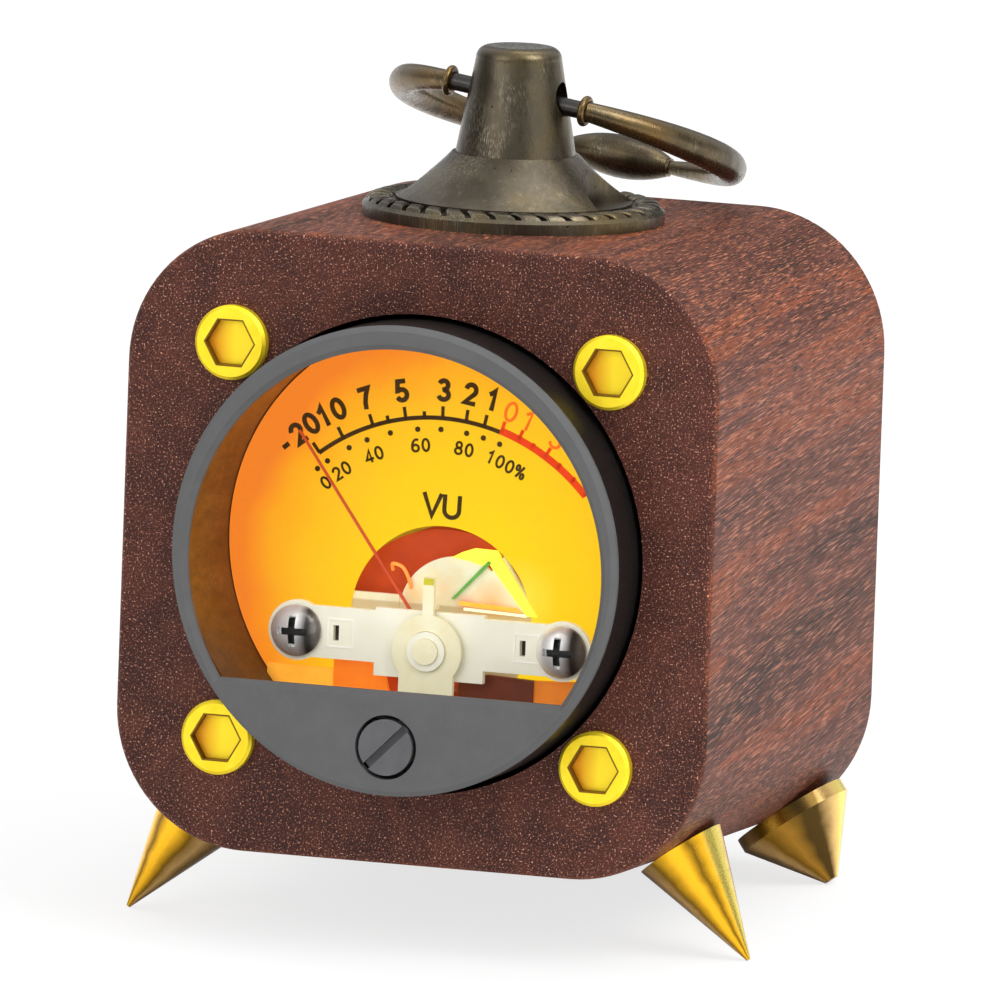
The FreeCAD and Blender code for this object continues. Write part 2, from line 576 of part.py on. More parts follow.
def pull_ring():
    """The loose ring, drawn flat: its pin along x, the ring hanging from it along y."""
    radius, reach = value("ring_radius"), value("ring_reach")
    half_pin = math.sqrt(radius ** 2 - reach ** 2)
    start = math.asin(half_pin / radius)
    stop = math.pi - math.asin(value("bead_length / 2") / radius)
    end, side, neck = (value("ring_%s_thickness" % word) for word in ("end", "side", "neck"))
    fullest = value("ring_fullest_share")
    steps = 10

    def section(part, hand):
        """The tube's outline a part of the way from a collar to the bead."""
        angle = start + (stop - start) * part
        if part < fullest:
            thin, swell = end, math.sin(math.pi / 2 * part / fullest)
        else:
            thin, swell = neck, math.cos(math.pi / 2 * (part - fullest) / (1 - fullest))
        thickness = thin + (side - thin) * swell
        middle = V(hand * radius * math.sin(angle), reach - radius * math.cos(angle), 0)
        along = V(hand * math.cos(angle), math.sin(angle), 0)
        return Part.Wire(Part.makeCircle(thickness, middle, along))

    collar = value("ring_collar_round")
    pin_end = half_pin + collar
    solids = [Part.makeCylinder(value("ring_pin_radius"), 2 * pin_end, V(-pin_end, 0, 0),
                                V(1, 0, 0))]
    bead_half, bead_collar = value("bead_length / 2"), value("bead_collar_width")
    bead_line = reach + radius * math.cos(math.pi - stop)
    for hand in (-1, 1):
        solids.append(Part.makeTorus(
            value("ring_collar_radius"), collar, V(hand * half_pin, 0, 0), V(1, 0, 0)))
        solids.append(Part.makeLoft([section(k / steps, hand) for k in range(steps + 1)], True))
        solids.append(Part.makeCylinder(
            value("bead_collar"), bead_collar,
            V(hand * bead_half - bead_collar / 2, bead_line, 0), V(1, 0, 0)))
    waist = V(0, bead_line + value("bead_radius"), 0)
    tips = [V(x, bead_line + value("bead_end_radius"), 0) for x in (-bead_half, bead_half)]
    barrel = Part.Wire([
        Part.Arc(tips[0], waist, tips[1]).toShape(),
        Part.makeLine(tips[1], V(bead_half, bead_line, 0)),
        Part.makeLine(V(bead_half, bead_line, 0), V(-bead_half, bead_line, 0)),
        Part.makeLine(V(-bead_half, bead_line, 0), tips[0])])
    solids.append(Part.Face(barrel).revolve(V(0, bead_line, 0), V(1, 0, 0), 360))
    ring = doc.addObject("Part::Feature", "pull_ring")
    ring.Shape = solids[0].fuse(solids[1:]).removeSplitter()
    place(ring, spot(y=PULL_DEPTH, z=RING_UP) + " * "
          + spot(turn="0; 0; 1); ring_yaw") + " * " + spot(turn="0; 1; 0); ring_tilt") + " * "
          + spot(turn="1; 0; 0); -ring_slope"))
    nodes.append(ring)


# Meter case

def round_with_chord(radius, chord, drop="0"):
    """A circle about a point below the middle, cut off below by a chord: its outline."""
    reach = f"sqrt(({radius})^2 - ({chord} - {drop})^2)"
    return [(f"-{reach}", f"-{chord}"), (reach, f"-{chord}", radius), (radius, f"-{drop}", radius),
            ("0", f"{radius} - {drop}", radius), (f"-{radius}", f"-{drop}", radius)]


def meter_case():
    bezel = plate("meter_bezel", "-bezel_stand", "bezel_thickness",
                  circles=[("0", "0", "meter_radius")])
    hole = sketch(bezel, "XZ_Plane", "-bezel_stand")
    outline(hole, round_with_chord(OPENING, "chin_top", "opening_drop"))
    pocket(bezel, hole, "bezel_thickness")
    soften(bezel, "Chamfer", "opening_flare", flat_at("-bezel_stand"))
    bore(bezel, spot(z="-zero_drop", y="-bezel_stand", turn=BACKWARDS), "zero_hole_radius",
         "bezel_thickness")
    plate("meter_window", BEZEL_BACK, "window_thickness", circles=[
        ("0", "0", WINDOW_RADIUS), ("0", "-zero_drop", "zero_neck_radius + part_gap")])
    seat, inside = f"({WINDOW_RADIUS} + round_gap)", "(meter_radius - shell_wall)"
    turned("meter_shell", spot(), [
        (seat, BEZEL_BACK), ("meter_radius", BEZEL_BACK), ("meter_radius", "shell_back"),
        (inside, "shell_back"), (inside, WINDOW_BACK), (seat, WINDOW_BACK)])
    rim, wall = f"({CUP_RIM} - cup_rim_wall)", f"({CUP_RADIUS} - cup_wall)"
    cup = turned("meter_cup", spot(), [
        ("0", "cup_back"), (CUP_RADIUS, "cup_back"), (CUP_RADIUS, "shell_back"),
        (CUP_RIM, "shell_back"), (CUP_RIM, DIAL_BACK), (rim, DIAL_BACK),
        (rim, "shell_back - cup_wall"), (wall, "shell_back - cup_wall"), (wall, CUP_INSIDE),
        ("0", CUP_INSIDE)])
    low = sketch(cup, "XZ_Plane", BASE_BACK)
    high = sketch(cup, "XZ_Plane", "lamp_board_front + lamp_board_thickness")
    for side in ("", "-"):
        circle(low, f"{side}bridge_screw_across", "-bridge_screw_drop", "base_boss_radius")
        circle(high, f"{side}lamp_boss_across", "lamp_boss_up", "lamp_boss_radius")
    pad(cup, low, f"{CUP_INSIDE} + cup_floor / 2 - {BASE_BACK}")
    pad(cup, high, f"{CUP_INSIDE} + cup_floor / 2 - lamp_board_front - lamp_board_thickness")
    for side in ("", "-"):
        for up in ("signal_up", "lamp_up"):
            bore(cup, spot(f"{side}terminal_across", CUP_INSIDE, up, BACKWARDS),
                 "terminal_radius + part_gap", "cup_floor")
        bore(cup, spot(f"{side}bridge_screw_across", BASE_BACK, "-bridge_screw_drop", BACKWARDS),
             "bridge_screw_shank + part_gap", f"cup_back - {BASE_BACK}")
    inner, outer = f"({CUP_RADIUS} + round_gap)", f"({BORE} - round_gap)"
    back = f"({PULL_DEPTH} - pull_screw_head - mounting_ring_gap)"
    turned("meter_mounting_ring", spot(), [
        (inner, "shell_back"), (outer, "shell_back"), (outer, back), (inner, back)])


# Zero adjuster

def zero_adjuster():
    head_front = "(-bezel_stand - zero_head_proud)"
    screw = turned("zero_adjust_screw", spot(z="-zero_drop"), [
        ("0", head_front), ("zero_head_radius", head_front),
        ("zero_head_radius", f"{BEZEL_BACK} - part_gap"),
        ("zero_neck_radius", f"{BEZEL_BACK} - part_gap"),
        ("zero_neck_radius", f"{WINDOW_BACK} + part_gap"),
        ("zero_flange_radius", f"{WINDOW_BACK} + part_gap"),
        ("zero_flange_radius", f"{WINDOW_BACK} + part_gap + zero_flange_height"),
        ("0", f"{WINDOW_BACK} + part_gap + zero_flange_height")])
    slot = sketch(screw, "XZ_Plane", head_front)
    half_long, half_wide = "(zero_head_radius * 1.1)", "(zero_slot_width / 2)"
    corner = [(sl, sw) for sl, sw in (("-", "-"), ("", "-"), ("", ""), ("-", ""))]
    outline(slot, [(f"({sl}{half_long} - ({sw}{half_wide})) * cos(45)",
                    f"({sl}{half_long} + ({sw}{half_wide})) * cos(45)") for sl, sw in corner])
    pocket(screw, slot, "zero_slot_depth")
    flange_back = f"({WINDOW_BACK} + part_gap + zero_flange_height)"
    pin = sketch(screw, "XZ_Plane", flange_back)
    circle(pin, "0", "zero_pin_offset", "zero_pin_radius")
    pad(screw, pin, f"lever_front + lever_thickness + zero_slot_play - {flange_back}")


def zero_lever():
    """A washer round the bridge's boss with a tab up, a fork down and a finger for the spring."""
    ring, tab, fork = "lever_ring_radius", "(lever_tab_width / 2)", "(lever_fork_width / 2)"
    slot = "(zero_pin_radius + zero_slot_play)"
    top, low = f"sqrt({ring}^2 - {tab}^2)", f"sqrt({ring}^2 - {fork}^2)"
    lever = plate("zero_lever", "lever_front", "lever_thickness", [
        (tab, "lever_tab_reach"), (f"-{tab}", "lever_tab_reach"), (f"-{tab}", top, ring),
        (f"-{ring}", "0", ring), (f"-{fork}", f"-{low}"), (f"-{fork}", "-lever_fork_end"),
        (f"-{slot}", "-lever_fork_end"), (f"-{slot}", "-lever_slot_start"),
        (slot, "-lever_slot_start"), (slot, "-lever_fork_end"), (fork, "-lever_fork_end"),
        (fork, f"-{low}", ring), (ring, "0", ring), (tab, top)],
        [("0", "0", "bridge_boss_radius + part_gap")], PIVOT)
    lever_back = "(lever_front + lever_thickness)"
    finger = sketch(lever, "XZ_Plane", lever_back)
    outline(finger, block(tab, "lever_finger_thickness / 2",
                          y="(lever_finger + lever_finger_thickness / 2)"))
    pad(lever, finger, f"lever_finger_back - {lever_back}")
    hook_front = "(lever_finger_back - 2 * spring_wire)"
    hook = sketch(lever, "XZ_Plane", hook_front)
    low_end = "(spring_start + spring_pitch * spring_turns + spring_wire + anchor_gap)"
    outline(hook, block("anchor_radius", f"(lever_finger - {low_end}) / 2",
                        y=f"(lever_finger + {low_end}) / 2"))
    pad(lever, hook, f"lever_finger_back - {hook_front}")


# Dial and the cream plate behind its cut-out

def dial():
    posts = [(f"{side}bridge_screw_across", "-bridge_screw_drop",
              "post_pillar_radius + post_dial_gap") for side in ("", "-")]
    plate("dial_plate", "dial_front", "dial_thickness",
          circles=[("0", "0", CUP_RIM),
                   ("dial_hole_across", "-dial_hole_drop", "dial_hole_radius")] + posts)
    dome = "plate_dome_radius"
    rise = f"sqrt({dome}^2 - plate_dome_end^2)"
    plate("movement_plate", DIAL_BACK, "plate_thickness", [
        ("-plate_half_width", "-plate_bottom"), ("plate_half_width", "-plate_bottom"),
        ("plate_half_width", "-plate_shoulder"), ("plate_wing_foot", "-plate_shoulder"),
        ("plate_wing_across", "-plate_wing_drop"),
        ("plate_dome_across + plate_dome_end", f"{rise} - plate_dome_drop", dome),
        ("plate_dome_across", f"{dome} - plate_dome_drop", dome),
        (f"plate_dome_across - {dome}", "-plate_dome_drop"),
        (f"plate_dome_across - {dome}", "-plate_shoulder"),
        ("-plate_half_width", "-plate_shoulder")],
        [("0", "-pivot_drop", "plate_hole_radius")])


# Movement

def movement_bridge():
    side, end, half = "bridge_screw_across", "bridge_end_radius", "bridge_half_height"
    middle, plate_half = "bridge_screw_drop", "bridge_plate_half"
    neck = f"({side} - sqrt({end}^2 - {half}^2))"
    right = [(plate_half, f"-{middle} - {half}"), (neck, f"-{middle} - {half}", end),
             (side, f"-{middle} - {end}", end), (f"{side} + {end}", f"-{middle}", end),
             (side, f"{end} - {middle}", end), (neck, f"{half} - {middle}"),
             (plate_half, f"{half} - {middle}")]
    left = [(f"-({side})", f"{end} - {middle}", end), (f"-({side} + {end})", f"-{middle}", end),
            (f"-({side})", f"-{middle} - {end}", end), (f"-{neck}", f"-{middle} - {half}"),
            (f"-{plate_half}", f"-{middle} - {half}")]
    piece = plate("movement_bridge", "bridge_front", "bridge_thickness", [
        (f"-{plate_half}", "-bridge_plate_bottom"), (plate_half, "-bridge_plate_bottom"),
        *right, (plate_half, "-bridge_plate_top"), (f"-{plate_half}", "-bridge_plate_top"),
        (f"-{plate_half}", f"{half} - {middle}"), (f"-{neck}", f"{half} - {middle}", end),
        *left])
    boss = sketch(piece, "XZ_Plane", "bridge_front - bridge_boss_height")
    circle(boss, "0", "-pivot_drop", "bridge_boss_radius")
    pad(piece, boss, "bridge_boss_height")
    bore(piece, spot(y="bridge_front - bridge_boss_height", z="-pivot_drop", turn=BACKWARDS),
         "jewel_screw_radius + jewel_fit", "bridge_boss_height + bridge_thickness")
    holes = sketch(piece, "XZ_Plane", "bridge_front")
    for hand in ("", "-"):
        circle(holes, f"{hand}bridge_screw_across", "-bridge_screw_drop",
               "bridge_screw_shank + part_gap")
        outline(holes, block("bridge_slot_width / 2", "bridge_slot_height / 2",
                             f"{hand}bridge_slot_across", "-bridge_screw_drop"))
    pocket(piece, holes, "bridge_thickness")


def movement_fixings():
    dome, head = "bridge_screw_dome", "bridge_screw_head"
    swell = f"(({head})^2 + ({dome})^2) / (2 * {dome})"
    screw = turned("bridge_screw", spot(), [
        ("0", f"-bridge_screw_rim - {dome}", swell), (head, "-bridge_screw_rim"), (head, "0"),
        ("bridge_screw_shank", "0"), ("bridge_screw_shank", "bridge_screw_length"),
        ("0", "bridge_screw_length")], keep=False)
    cross(screw, f"-bridge_screw_rim - {dome}", "cross_width", "cross_length", "cross_depth")
    sides = ("", "-")
    group("bridge_screws", screw, [
        spot(f"{side}bridge_screw_across", "bridge_front", "-bridge_screw_drop")
        for side in sides])
    group("movement_screws", screw, [
        spot(f"{side}bridge_screw_across", "cup_back", "-bridge_screw_drop", "0; 0; 1); 180")
        for side in sides])
    hole = "(bridge_screw_shank + part_gap)"
    depth = "(bridge_screw_length - bridge_thickness + part_gap)"
    rear = f"(bridge_screw_length - (cup_back - base_front) + part_gap)"
    pillar = turned("bridge_post", spot(), [
        (hole, BRIDGE_BACK), ("post_pillar_radius", BRIDGE_BACK),
        ("post_pillar_radius", "base_front"), (hole, "base_front"),
        (hole, f"base_front - {rear}"), ("0", f"base_front - {rear}"),
        ("0", f"{BRIDGE_BACK} + {depth}"), (hole, f"{BRIDGE_BACK} + {depth}")], keep=False)
    group("bridge_posts", pillar, [
        spot(f"{side}bridge_screw_across", "0", "-bridge_screw_drop") for side in sides])
    front = "(bridge_front - bridge_boss_height - jewel_proud)"
    back = f"({BRIDGE_BACK} - jewel_back)"
    turned("front_jewel_screw", PIVOT, [
        ("0", front), ("jewel_screw_radius", front), ("jewel_screw_radius", back),
        ("jewel_bore_radius", back), ("jewel_bore_radius", f"{back} - jewel_bore_depth"),
        ("0", f"{back} - jewel_bore_depth")])
    front = "(base_front - rear_jewel_proud)"
    turned("rear_jewel_screw", PIVOT, [
        ("jewel_bore_radius", front), ("jewel_screw_radius", front),
        ("jewel_screw_radius", f"{front} + rear_jewel_length"),
        ("0", f"{front} + rear_jewel_length"), ("0", f"{front} + jewel_bore_depth"),
        ("jewel_bore_radius", f"{front} + jewel_bore_depth")])
    stop = turned("pointer_stop", spot(), [
        ("0", "0"), ("stop_radius", "0"), ("stop_radius", "stop_length"), ("0", "stop_length")],
        keep=False)
    lead = "(asin((tail_width / 2 + stop_radius + stop_gap) / stop_reach) / 1 deg)"
    angles = (f"(180 - pointer_rest - {lead})", f"(180 - pointer_rest + pointer_sweep + {lead})")
    group("pointer_stops", stop, [
        spot(f"stop_reach * sin({angle})", BRIDGE_BACK, f"stop_reach * cos({angle}) - pivot_drop")
        for angle in angles])


def magnet():
    ring = turned("magnet_yoke_ring", spot(), [
        ("yoke_bore", "core_front"), ("yoke_radius", "core_front"), ("yoke_radius", "base_front"),
        ("yoke_bore", "base_front")], keep=False)
    ring.setExpression("Placement", bound(PIVOT))
    room = doc.addObject("Part::Cylinder", "magnet_yoke_room")
    room.setExpression("Radius", bound(BASE_RADIUS))
    room.setExpression("Height", bound("base_front"))
    room.setExpression("Placement", bound(spot(turn=BACKWARDS)))
    yoke = doc.addObject("Part::Common", "magnet_yoke")
    yoke.Label = "magnet_yoke"
    yoke.Base, yoke.Tool = ring, room
    place(yoke, spot())
    nodes.append(yoke)
    turned("core_magnet", PIVOT, [
        ("0", "core_front"), ("core_radius", "core_front"), ("core_radius", CORE_BACK),
        ("0", CORE_BACK)])
    pillar = turned("core_post", spot(), [
        ("0", CORE_BACK), ("core_post_radius", CORE_BACK), ("core_post_radius", "base_front"),
        ("0", "base_front")], keep=False)
    group("core_posts", pillar, [
        spot(f"{side}core_post_across", "0", "-pivot_drop") for side in ("", "-")])
    reach = f"sqrt({BASE_RADIUS}^2 - base_top^2)"
    base = plate("movement_base", "base_front", "base_thickness", [
        (reach, "base_top"), (f"-{reach}", "base_top", BASE_RADIUS),
        (f"-{BASE_RADIUS}", "0", BASE_RADIUS), ("0", f"-{BASE_RADIUS}", BASE_RADIUS),
        (BASE_RADIUS, "0", BASE_RADIUS)])
    bore(base, spot(y="base_front", z="-pivot_drop", turn=BACKWARDS),
         "jewel_screw_radius + jewel_fit", "base_thickness")
    for side in ("", "-"):
        bore(base, spot(f"{side}bridge_screw_across", "base_front", "-bridge_screw_drop",
                        BACKWARDS), "bridge_screw_shank + part_gap", "base_thickness")
    front = "(rear_spring_plane - spring_wire)"
    anchor = sketch(base, "XZ_Plane", front)
    reach = ("(spring_start + spring_pitch * spring_turns + spring_wire + anchor_gap"
             " + anchor_radius)")
    circle(anchor, "0", f"{reach} - pivot_drop", "anchor_radius")
    pad(base, anchor, f"base_front - {front}")


def frame_of_coil(label, front, back, side, wall):
    """A rectangular frame round the core, in the needle's own plane."""
    piece = body(label, NEEDLE)
    drawing = sketch(piece, "YZ_Plane")
    depth, middle = f"(({back} - {front}) / 2)", f"(({back} + {front}) / 2)"
    outline(drawing, block(depth, side, middle))
    outline(drawing, block(f"({depth} - {wall})", f"({side} - {wall})", middle))
    feature = piece.newObject("PartDesign::Pad", label + "_pad")
    feature.Profile = drawing
    feature.Midplane = True
    feature.setExpression("Length", bound("2 * coil_half_width"))


def moving_coil():
    side = "(core_radius + bobbin_side_clearance + bobbin_wall)"
    frame_of_coil("coil_bobbin", BOBBIN_FRONT, BOBBIN_BACK, side, "bobbin_wall")
    frame_of_coil("coil_winding", COIL_FRONT, COIL_BACK, f"({side} + winding_thickness)",
                  "winding_thickness")
    jewel = f"({BRIDGE_BACK} - jewel_back)"
    tip = f"({jewel} - jewel_bore_depth + staff_end_gap)"
    turned("front_pivot_staff", PIVOT, [
        ("0", tip), ("staff_tip_radius", tip), ("staff_tip_radius", f"{jewel} + staff_end_gap"),
        ("staff_radius", f"{jewel} + staff_end_gap"), ("staff_radius", "collet_front"),
        ("collet_radius", "collet_front"), ("collet_radius", "collet_front + collet_length"),
        ("staff_radius", "collet_front + collet_length"), ("staff_radius", COIL_FRONT),
        ("0", COIL_FRONT)])
    jewel = "(base_front - rear_jewel_proud)"
    tip = f"({jewel} + jewel_bore_depth - staff_end_gap)"
    turned("rear_pivot_staff", PIVOT, [
        ("0", COIL_BACK), ("staff_radius", COIL_BACK),
        ("staff_radius", f"{COIL_BACK} + rear_collet_gap"),
        ("collet_radius", f"{COIL_BACK} + rear_collet_gap"),
        ("collet_radius", f"{jewel} - staff_end_gap"),
        ("staff_tip_radius", f"{jewel} - staff_end_gap"), ("staff_tip_radius", tip), ("0", tip)])
    needle = plate("pointer", "pointer_front", "pointer_thickness",
                   circles=[("0", "0", "pointer_hub_radius"),
                            ("0", "0", "staff_radius + part_gap / 2")], where=NEEDLE)
    limbs = (
        [("-pointer_root_width / 2", "pointer_root"), ("pointer_root_width / 2", "pointer_root"),
         ("pointer_tip_width / 2", "pointer_length"), ("-pointer_tip_width / 2", "pointer_length")],
        block("tail_width / 2", "(tail_length - pointer_root) / 2",
              y="-(tail_length + pointer_root) / 2"),
        block("(arm_length - pointer_root) / 2", "arm_width / 2",
              "(arm_length + pointer_root) / 2"),
        block("(arm_length - pointer_root) / 2", "arm_width / 2",
              "-(arm_length + pointer_root) / 2"))
    for limb in limbs:
        drawing = sketch(needle, "XZ_Plane", "pointer_front")
        outline(drawing, limb)
        pad(needle, drawing, "pointer_thickness")
    weight = turned("counterweight", spot(), [
        ("0", "0"), ("weight_radius", "0"), ("weight_radius", "weight_length"),
        ("0", "weight_length")], upright=True, keep=False)
    depth = "pointer_front + pointer_thickness / 2"
    group("counterweights", weight, [
        NEEDLE + " * " + spot(f"{side}arm_length", depth, "0", f"0; 1; 0); {side}90")
        for side in ("", "-")])


def hairspring(label, plane):
    """A flat spiral of half-turn arcs, one unbroken wire, whose ends both lie above the pivot."""
    pitch, first = value("spring_pitch"), value("spring_start")
    wire_radius, level = value("spring_wire"), value(plane)
    samples = 24
    arcs = []
    spine = []
    for step in range(int(2 * value("spring_turns"))):
        up = 1 if step % 2 == 0 else -1
        near, far = first + step * pitch / 2, first + (step + 1) * pitch / 2
        middle = up * (near - far) / 2
        reach = (near + far) / 2
        arcs.append(Part.Arc(V(0, level, up * near), V(up * reach, level, middle),
                             V(0, level, -up * far)).toShape())
        for part in range(samples):
            angle = math.pi * part / samples
            spine.append((step / 2 + part / (2 * samples), V(up * reach * math.sin(angle), level,
                                                  middle + up * reach * math.cos(angle))))
    shell = Part.BRepOffsetAPI.MakePipeShell(Part.Wire(arcs))
    shell.add(Part.Wire(Part.makeCircle(wire_radius, V(0, level, first), V(1, 0, 0))))
    shell.build()
    shell.makeSolid()
    half_a_turn = 0.5
    apart = min((p.distanceToPoint(q) for s, p in spine for t, q in spine if t - s > half_a_turn),
                default=pitch)
    print(f"{label}: least gap to itself {apart - 2 * wire_radius:.3f} mm")
    spring = doc.addObject("Part::Feature", label)
    spring.Shape = shell.shape()
    place(spring, PIVOT)
    nodes.append(spring)


# Lamps behind the dial

def lamps():
    low, outer, inner = "lamp_board_low", LAMP_BOARD, "lamp_board_inner"
    far, near = f"sqrt({outer}^2 - {low}^2)", f"sqrt({inner}^2 - {low}^2)"
    plate("backlight_board", "lamp_board_front", "lamp_board_thickness", [
        (far, low, outer), ("0", outer, outer), (f"-{far}", low), (f"-{near}", low, f"-{inner}"),
        ("0", inner, f"-{inner}"), (near, low)])
    bulb = turned("backlight_lamp", spot(), [
        ("0", "-lamp_height", "lamp_radius"), ("lamp_radius", "lamp_radius - lamp_height"),
        ("lamp_radius", "0"), ("0", "0")], keep=False)
    group("backlight_lamps", bulb, [
        spot(f"{side}lamp_{where}_across", "lamp_board_front", f"lamp_{where}_up")
        for where in ("side", "top") for side in ("", "-")])


# Terminals and driver board

def terminals():
    places = [spot(f"{side}terminal_across", "0", up)
              for side in ("", "-") for up in ("signal_up", "lamp_up")]
    stud = turned("meter_terminal", spot(), [
        ("0", f"{CUP_INSIDE} - terminal_head_height"),
        ("terminal_head", f"{CUP_INSIDE} - terminal_head_height"), ("terminal_head", CUP_INSIDE),
        ("terminal_radius", CUP_INSIDE), ("terminal_radius", TERMINAL_END),
        ("0", TERMINAL_END)], keep=False)
    group("meter_terminals", stud, places)
    hole = "(terminal_radius + part_gap)"
    sleeve = turned("board_spacer", spot(), [
        (hole, "cup_back"), ("spacer_radius", "cup_back"), ("spacer_radius", BOARD_FRONT),
        (hole, BOARD_FRONT)], keep=False)
    group("board_spacers", sleeve, places)
    nut = body("terminal_nut", keep=False)
    drawing = sketch(nut, "XZ_Plane", BOARD_BACK)
    outline(drawing, regular("nut_width"))
    circle(drawing, "0", "0", hole)
    pad(nut, drawing, "nut_height")
    group("terminal_nuts", nut, places)


def driver_board():
    holes = [(f"{side}terminal_across", up, "terminal_radius + part_gap")
             for side in ("", "-") for up in ("signal_up", "lamp_up")]
    plate("driver_board", BOARD_FRONT, "board_thickness",
          circles=[("0", "0", "board_radius")] + holes)
    socket = plate("usb_c_socket", BOARD_BACK, "usb_length",
                   rounded("usb_width / 2", "usb_height / 2", "usb_corner", y="-usb_drop"))
    well = sketch(socket, "XZ_Plane", f"{BOARD_BACK} + usb_length - usb_well")
    outline(well, rounded("(usb_width / 2 - usb_wall)", "(usb_height / 2 - usb_wall)",
                          "(usb_corner - usb_wall)", y="-usb_drop"))
    pocket(socket, well, "usb_well")
    tongue = sketch(socket, "XZ_Plane", f"{BOARD_BACK} + usb_length - usb_well")
    outline(tongue, block("usb_tongue_width / 2", "usb_tongue_height / 2", y="-usb_drop"))
    pad(socket, tongue, "usb_tongue_length")
    back = f"({BOARD_BACK} + microphone_height)"
    turned("microphone", spot("-microphone_across", "0", "-microphone_drop"), [
        ("0", BOARD_BACK), ("microphone_radius", BOARD_BACK), ("microphone_radius", back),
        ("microphone_port", back), ("microphone_port", f"{back} - microphone_port"),
        ("0", f"{back} - microphone_port")])
    trimmer = plate("trimmer_body", BOARD_BACK, "trimmer_height",
                    block("trimmer_side / 2", "trimmer_side / 2", "trimmer_across",
                          "-trimmer_drop"))
    top = f"({BOARD_BACK} + trimmer_height)"
    well = sketch(trimmer, "XZ_Plane", f"{top} - rotor_depth")
    circle(well, "trimmer_across", "-trimmer_drop", "rotor_radius + rotor_clearance")
    pocket(trimmer, well, "rotor_depth")
    rotor = turned("trimmer_rotor", spot("trimmer_across", "0", "-trimmer_drop"), [
        ("0", f"{top} - rotor_depth + rotor_clearance"),
        ("rotor_radius", f"{top} - rotor_depth + rotor_clearance"),
        ("rotor_radius", f"{top} - part_gap"), ("0", f"{top} - part_gap")])
    cross(rotor, f"{top} - part_gap", "rotor_slot_width", "rotor_slot_length",
          "rotor_slot_depth", forwards=True)
    plate("driver_chip", BOARD_BACK, "chip_height",
          block("chip_width / 2", "chip_length / 2", y="chip_up"))
    can = turned("capacitor", spot(), [
        ("0", BOARD_BACK), ("capacitor_radius", BOARD_BACK),
        ("capacitor_radius", f"{BOARD_BACK} + capacitor_height"),
        ("0", f"{BOARD_BACK} + capacitor_height")], keep=False)
    group("capacitors", can, [
        spot(f"{side}capacitor_across", "0", "-capacitor_drop") for side in ("", "-")])


case_block()
feet()
front_hex_screws()
rear_cover()
pull()
pull_ring()
meter_case()
zero_adjuster()
zero_lever()
dial()
movement_bridge()
movement_fixings()
magnet()
moving_coil()
hairspring("front_hairspring", "spring_plane")
hairspring("rear_hairspring", "rear_spring_plane")
lamps()
terminals()
driver_board()
doc.recompute()

for item in doc.Objects:
    if "Invalid" in item.State or "Error" in item.State:
        raise RuntimeError(f"{item.Name} failed: {item.State}")
for node in nodes:
    if node.Shape.isNull() or not node.Shape.isValid() or not node.Shape.Solids:
        raise RuntimeError(node.Label + " has no sound shape")
for node in nodes:
    node.Shape.exportStep(f"parts/{node.Label}.step")
print(f"{len(nodes)} nodes, lean {value(LEAN):.3f} degrees")
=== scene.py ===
import json
import math

import bmesh
import bpy
from mathutils import Matrix, Vector


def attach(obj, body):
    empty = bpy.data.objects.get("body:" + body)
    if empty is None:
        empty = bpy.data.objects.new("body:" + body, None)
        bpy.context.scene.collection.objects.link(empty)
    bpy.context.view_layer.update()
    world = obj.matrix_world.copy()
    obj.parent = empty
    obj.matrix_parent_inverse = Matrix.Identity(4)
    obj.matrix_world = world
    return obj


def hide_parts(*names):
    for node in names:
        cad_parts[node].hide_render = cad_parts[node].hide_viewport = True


# Desk-top analog VU meter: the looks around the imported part. Pieces are drawn in the wooden
# block's own frame, in millimetres: x to the right, y from its front face backwards, z up, with
# the middle of the front face at the origin. BLOCK sets them in the shared frame, in metres.

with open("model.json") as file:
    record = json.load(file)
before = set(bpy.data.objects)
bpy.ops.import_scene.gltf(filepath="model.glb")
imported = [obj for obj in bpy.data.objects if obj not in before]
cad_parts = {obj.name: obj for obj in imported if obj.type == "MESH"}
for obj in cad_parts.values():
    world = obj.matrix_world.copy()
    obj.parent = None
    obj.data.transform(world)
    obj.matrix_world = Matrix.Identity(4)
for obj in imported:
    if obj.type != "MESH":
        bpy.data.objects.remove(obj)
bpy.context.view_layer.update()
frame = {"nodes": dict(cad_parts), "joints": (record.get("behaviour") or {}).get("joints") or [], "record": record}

MM = 0.001

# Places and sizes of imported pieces, which the patterns and the trim line up with. A dome screw's
# surface lies at DOME_FRONT plus the square of the distance from its middle over DOME_ROUND.
PIVOT_DROP = 9.8
POINTER_FRONT = 6.3
DIAL_FRONT = 7.0
HEX_PLACE = (19.2, 19.05)
HEX_SOCKET = 2.3
DOME_PLACE = (13.5, -8.85)
DOME_FRONT, DOME_ROUND = 3.2, 6.1
SPLAY = math.radians(35.5)
REAR_FEET = 24
PULL_DEPTH, ROPE_FLOOR = 24.45, 31.4
PIN_REACH = 6.7

needle_joint = next(joint for joint in frame["joints"] if joint["name"] == "needle_swing")
LEAN = math.atan2(-needle_joint["axis"][2], needle_joint["axis"][1])
BLOCK = (Matrix.Translation(needle_joint["pos_m"]) @ Matrix.Rotation(-LEAN, 4, "X")
         @ Matrix.Scale(MM, 4) @ Matrix.Translation((0, -POINTER_FRONT, PIVOT_DROP)))
BACKWARDS = tuple(needle_joint["axis"])


def srgb(red, green, blue):
    """A colour read in the picture's 0 to 255 levels, as the shader's linear one."""
    levels = [level / 255 for level in (red, green, blue)]
    return tuple(level / 12.92 if level <= 0.04045 else ((level + 0.055) / 1.055) ** 2.4
                 for level in levels) + (1.0,)


# Finishes

